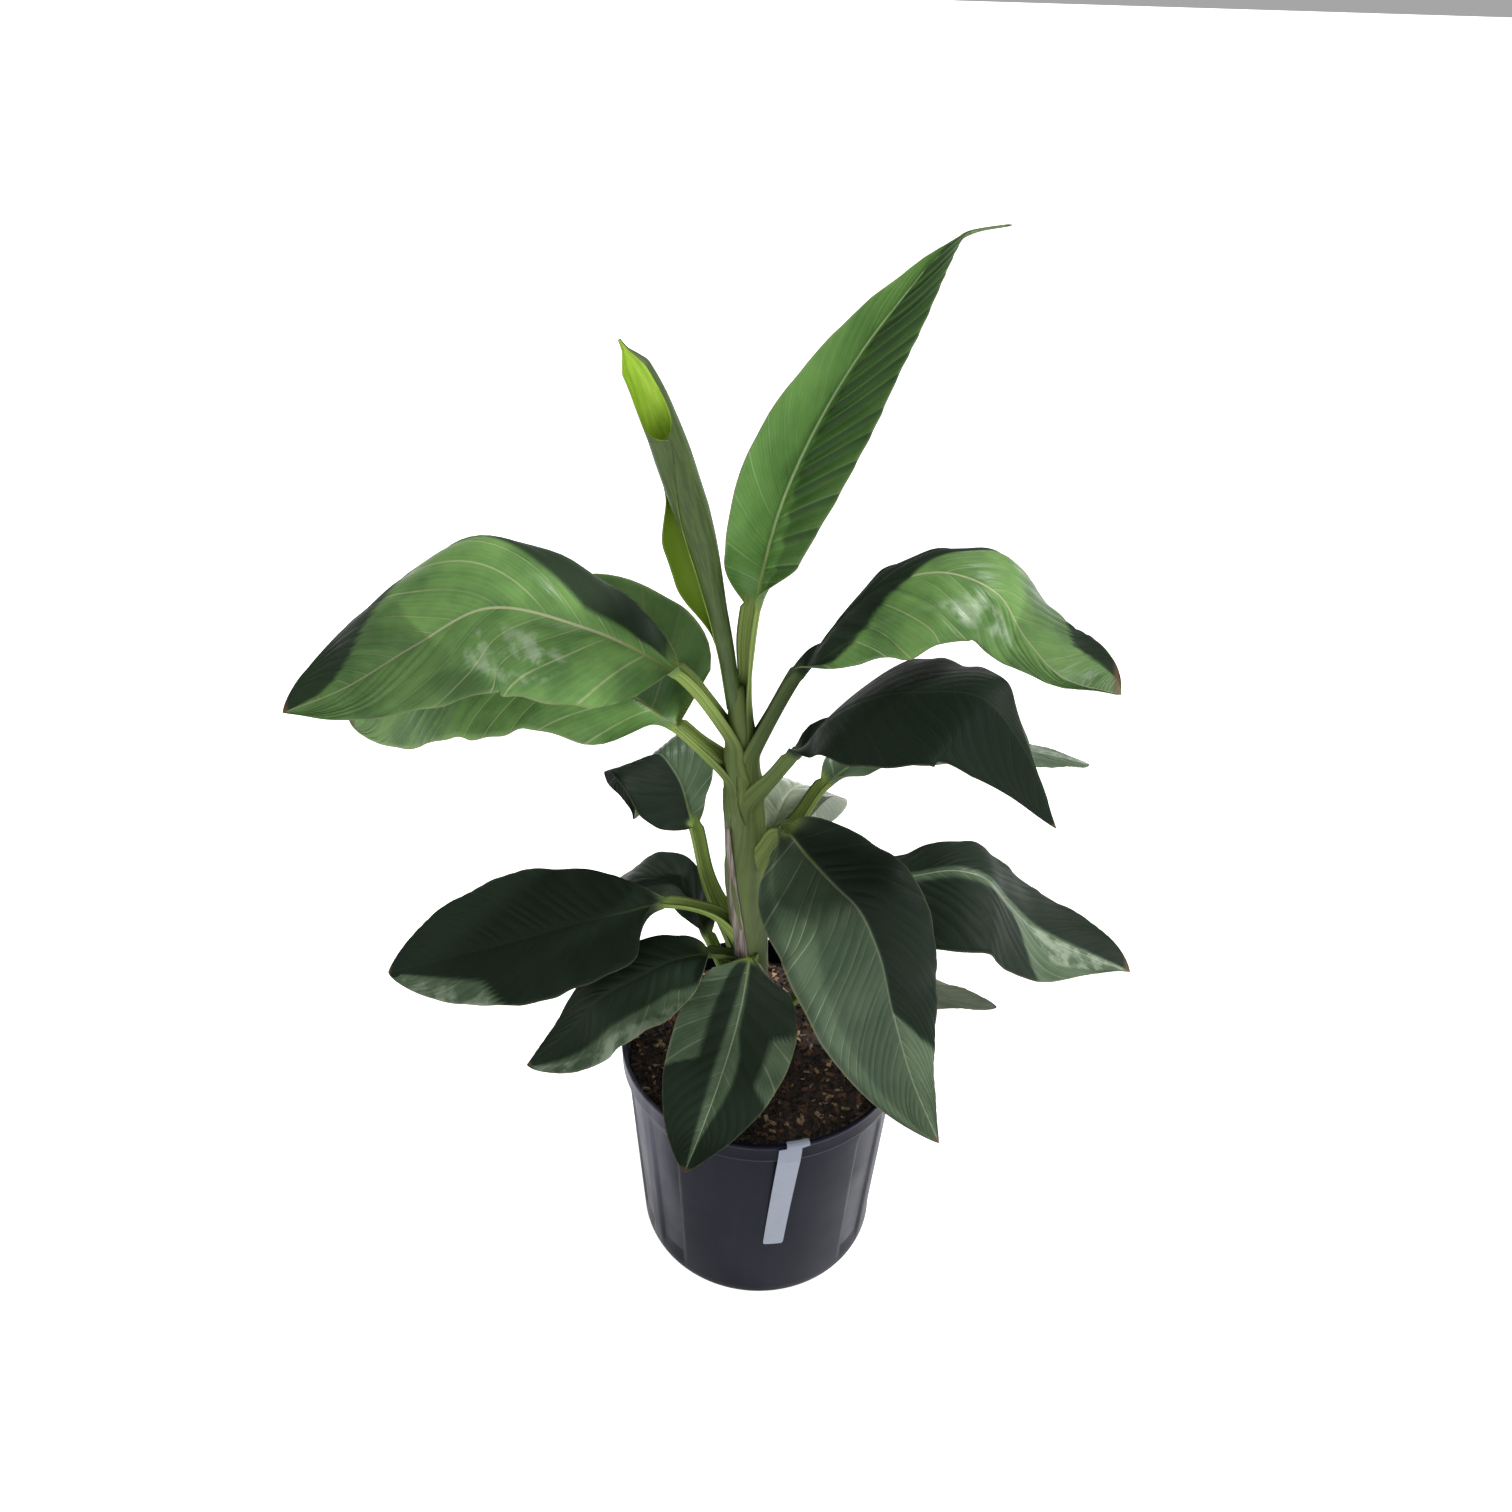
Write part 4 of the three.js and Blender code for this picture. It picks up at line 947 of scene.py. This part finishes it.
# The newest leaf is still rolled: one soft lime-green sheet wound round itself, its outer
# skin dull. Near the tip the turns part in a long window, and low down a margin flares out.
# Painted light brightens the inner lime, and painted shade darkens the flared margin's inside.
ROLL_HEADING = 195.0
ROLL_FOOT = 600
ROLL_LINE = np.array([[4, 612], [11, 660], [21, 710], [32, 760], [46, 806], [60, 848], [73, 880],
                      [88, 907]], float)
ROLL_GIRTH = [(0, 6.5), (0.14, 7), (0.29, 8.3), (0.43, 11), (0.57, 14), (0.71, 14.5), (0.85, 13),
              (0.93, 11), (0.955, 6.5), (0.975, 2.6), (1, 1.0)]
ROLL_WALL = 0.9
ROLL_ROWS = 150
ROLL_COLUMNS = 97
ROLL_LAP = 30.0
SEAM_HEADINGS = (165.0, 258.0)
WINDOW_FOOT = 0.765
WINDOW_HALF = 70.0
# The inner lime is partly the sheet's own colour and partly painted light shining through it.
ROLL_LIME = (0.28, 0.45, 0.035, 1)
ROLL_PALE = (0.44, 0.63, 0.07, 1)
ROLL_DULL = (0.038, 0.063, 0.018, 1)
ROLL_GREEN = (0.068, 0.104, 0.031, 1)
# The colour of painted shade on the flared margin's inner side.
ROLL_PAINTED_SHADE = (0.110, 0.190, 0.012, 1)

roll_turn = math.radians(ROLL_HEADING)
roll_length = marks_along(ROLL_LINE)[-1]
roll_out = np.array([math.cos(roll_turn), math.sin(roll_turn), 0])


def roll_frame(t_rows):
    """The rolled leaf's middle, two ways across it and its radius, at shares of its length."""
    place, run = midrib_at(ROLL_LINE, t_rows * roll_length)
    centre = (np.array([stem_x(ROLL_FOOT), 0, 0]) + place[:, :1] * roll_out
              + place[:, 1:] * UP)
    along = run[:, :1] * roll_out + run[:, 1:] * UP
    east = np.array([1.0, 0, 0]) - along * along[:, :1]
    east /= np.linalg.norm(east, axis=1, keepdims=True)
    girth = np.interp(t_rows, *np.array(ROLL_GIRTH).T)
    return centre[:, None], east[:, None], np.cross(along, east)[:, None], girth[:, None]


def rolled_sheet(name, t_grid, angle, radius, frame_rows, depth=0.0):
    """A thin closed sheet at an angle and a distance about the rolled leaf's middle.

    depth is how much painted shade its inner side has.
    """
    centre, east, north, _ = frame_rows
    ray = np.cos(angle)[..., None] * east + np.sin(angle)[..., None] * north
    outer = centre + ray * radius[..., None]
    inner = outer - ray * ROLL_WALL
    vein = np.stack((t_grid * 22, np.degrees(angle) * 0.0004, np.full_like(t_grid, 9)), axis=2)
    inner_skin = np.full_like(vein, [depth, 0, 0])
    outer_skin = inner_skin + np.array([0, 1.0, 0])
    return wrapped_grid(name, closed_ring(inner * MM, outer * MM, t_grid.shape),
                        {"vein": closed_ring(vein, vein, t_grid.shape),
                         "skin": closed_ring(inner_skin, outer_skin, t_grid.shape)})


t_rows = np.linspace(0, 1, ROLL_ROWS)
t_grid, c_grid = np.meshgrid(t_rows, np.linspace(0, 1, ROLL_COLUMNS), indexing="ij")
rows_frame = roll_frame(t_rows)
open_share = np.clip((t_rows - WINDOW_FOOT) / 0.07, 0, 1)
window = WINDOW_HALF * np.sqrt(1 - (1 - open_share) ** 2)
lap = ROLL_LAP * (1 - open_share)
seam = np.interp(t_rows, [0.45, WINDOW_FOOT - 0.01], SEAM_HEADINGS)
start = np.radians(seam + window)[:, None]
end = np.radians(seam + 360 + lap - window)[:, None]
angle = start + (end - start) * c_grid
radius = np.maximum(rows_frame[3] * (0.90 + 0.10 * c_grid), 1.1)
roll = rolled_sheet("blade_leaf_rolled", t_grid, angle, radius, rows_frame)

FLAP_SPAN = (0.20, 0.64)
FLAP_HEADINGS = (95.0, 180.0)
FLAP_REACH = 17.0
flap_rows, flap_columns = np.linspace(*FLAP_SPAN, 70), np.linspace(0, 1, 30)
flap_t, flap_v = np.meshgrid(flap_rows, flap_columns, indexing="ij")
flap_frame = roll_frame(flap_rows)
rest = smooth((flap_t - FLAP_SPAN[0]) / 0.18) * smooth((FLAP_SPAN[1] - flap_t) / 0.16)
angle = np.radians(FLAP_HEADINGS[0] + (FLAP_HEADINGS[1] - FLAP_HEADINGS[0]) * flap_v)
radius = flap_frame[3] + 0.5 * flap_v + FLAP_REACH * rest * flap_v ** 1.4
# The flared margin's inner side is painted fully in shade.
flap = rolled_sheet("rolled_margin", flap_t, angle, radius, flap_frame, 1.0)

roll_skin, roll_surface = new_material("leaf_rolled", 0.5, Specular_IOR_Level=0.2)
vein = laid_on(roll_skin, "vein")
skin = laid_on(roll_skin, "skin")
depth, below = put(roll_skin, "SeparateXYZ", {0: skin}).outputs[:2]
streak = grain(roll_skin, stretch(roll_skin, vein, 0.5, 160.0, 0.0), 1.0, 4, 0.6)
streaky = span(roll_skin, streak, 0.3, 0.7)
# The inner side's lime, brightened by painted light through the sheet, deepens where painted shade
# is marked.
lime = tint(roll_skin, depth, tint(roll_skin, streaky, ROLL_LIME, ROLL_PALE), ROLL_PAINTED_SHADE)
dull = tint(roll_skin, streaky, ROLL_DULL, ROLL_GREEN)
join(roll_skin, tint(roll_skin, below, lime, dull), roll_surface.inputs["Base Color"])
dent(roll_skin, roll_surface, streak, 0.0004)
roll.data.materials.append(roll_skin)
flap.data.materials.append(roll_skin)
settle(roll, "leaf", "leaf_rolled")
settle(flap, "leaf")

# A dead outer sheath has dried to a mauve-grey papery strip on the stem's left.
# It clings to the stem by its foot, and its margins have curled a little away.
DRY_HEADING = 236.0
DRY_FOOT = 272.0
DRY_TOP = 500.0
DRY_ROWS = 60
DRY_COLUMNS = 15
DRY_WALL = 0.45
DRY_BROWN = (0.10, 0.072, 0.058, 1)
DRY_GREY = (0.26, 0.22, 0.20, 1)
rows, u = np.meshgrid(np.linspace(0, 1, DRY_ROWS), np.linspace(-1, 1, DRY_COLUMNS), indexing="ij")
z = DRY_FOOT + (DRY_TOP - DRY_FOOT) * rows
around = math.radians(DRY_HEADING) + u * np.radians(21 - 14 * rows ** 2) + 0.12 * np.sin(5 * rows)
lifted = 2.4 + 1.5 * np.abs(u) ** 3 + 0.4 * np.sin(17 * rows + 3 * u)
outside = stem_radius(z, around) + lifted
ray = np.stack((np.cos(around), np.sin(around), np.zeros_like(z)), axis=2)
axis = np.stack((stem_x(z), np.zeros_like(z), z), axis=2)
outer = axis + ray * outside[..., None]
inner = outer - ray * DRY_WALL
dry = wrapped_grid("dry_sheath", closed_ring(inner * MM, outer * MM, u.shape), {})
dry_skin, dry_surface = new_material("dry_skin", 0.75)
fibre = grain(dry_skin, stretch(dry_skin, spot(dry_skin), 420.0, 420.0, 14.0), 1.0, 4)
paper = tint(dry_skin, span(dry_skin, fibre, 0.35, 0.65), DRY_BROWN, DRY_GREY)
join(dry_skin, paper, dry_surface.inputs["Base Color"])
dent(dry_skin, dry_surface, fibre, 0.0006)
dry.data.materials.append(dry_skin)
settle(dry, "stem")
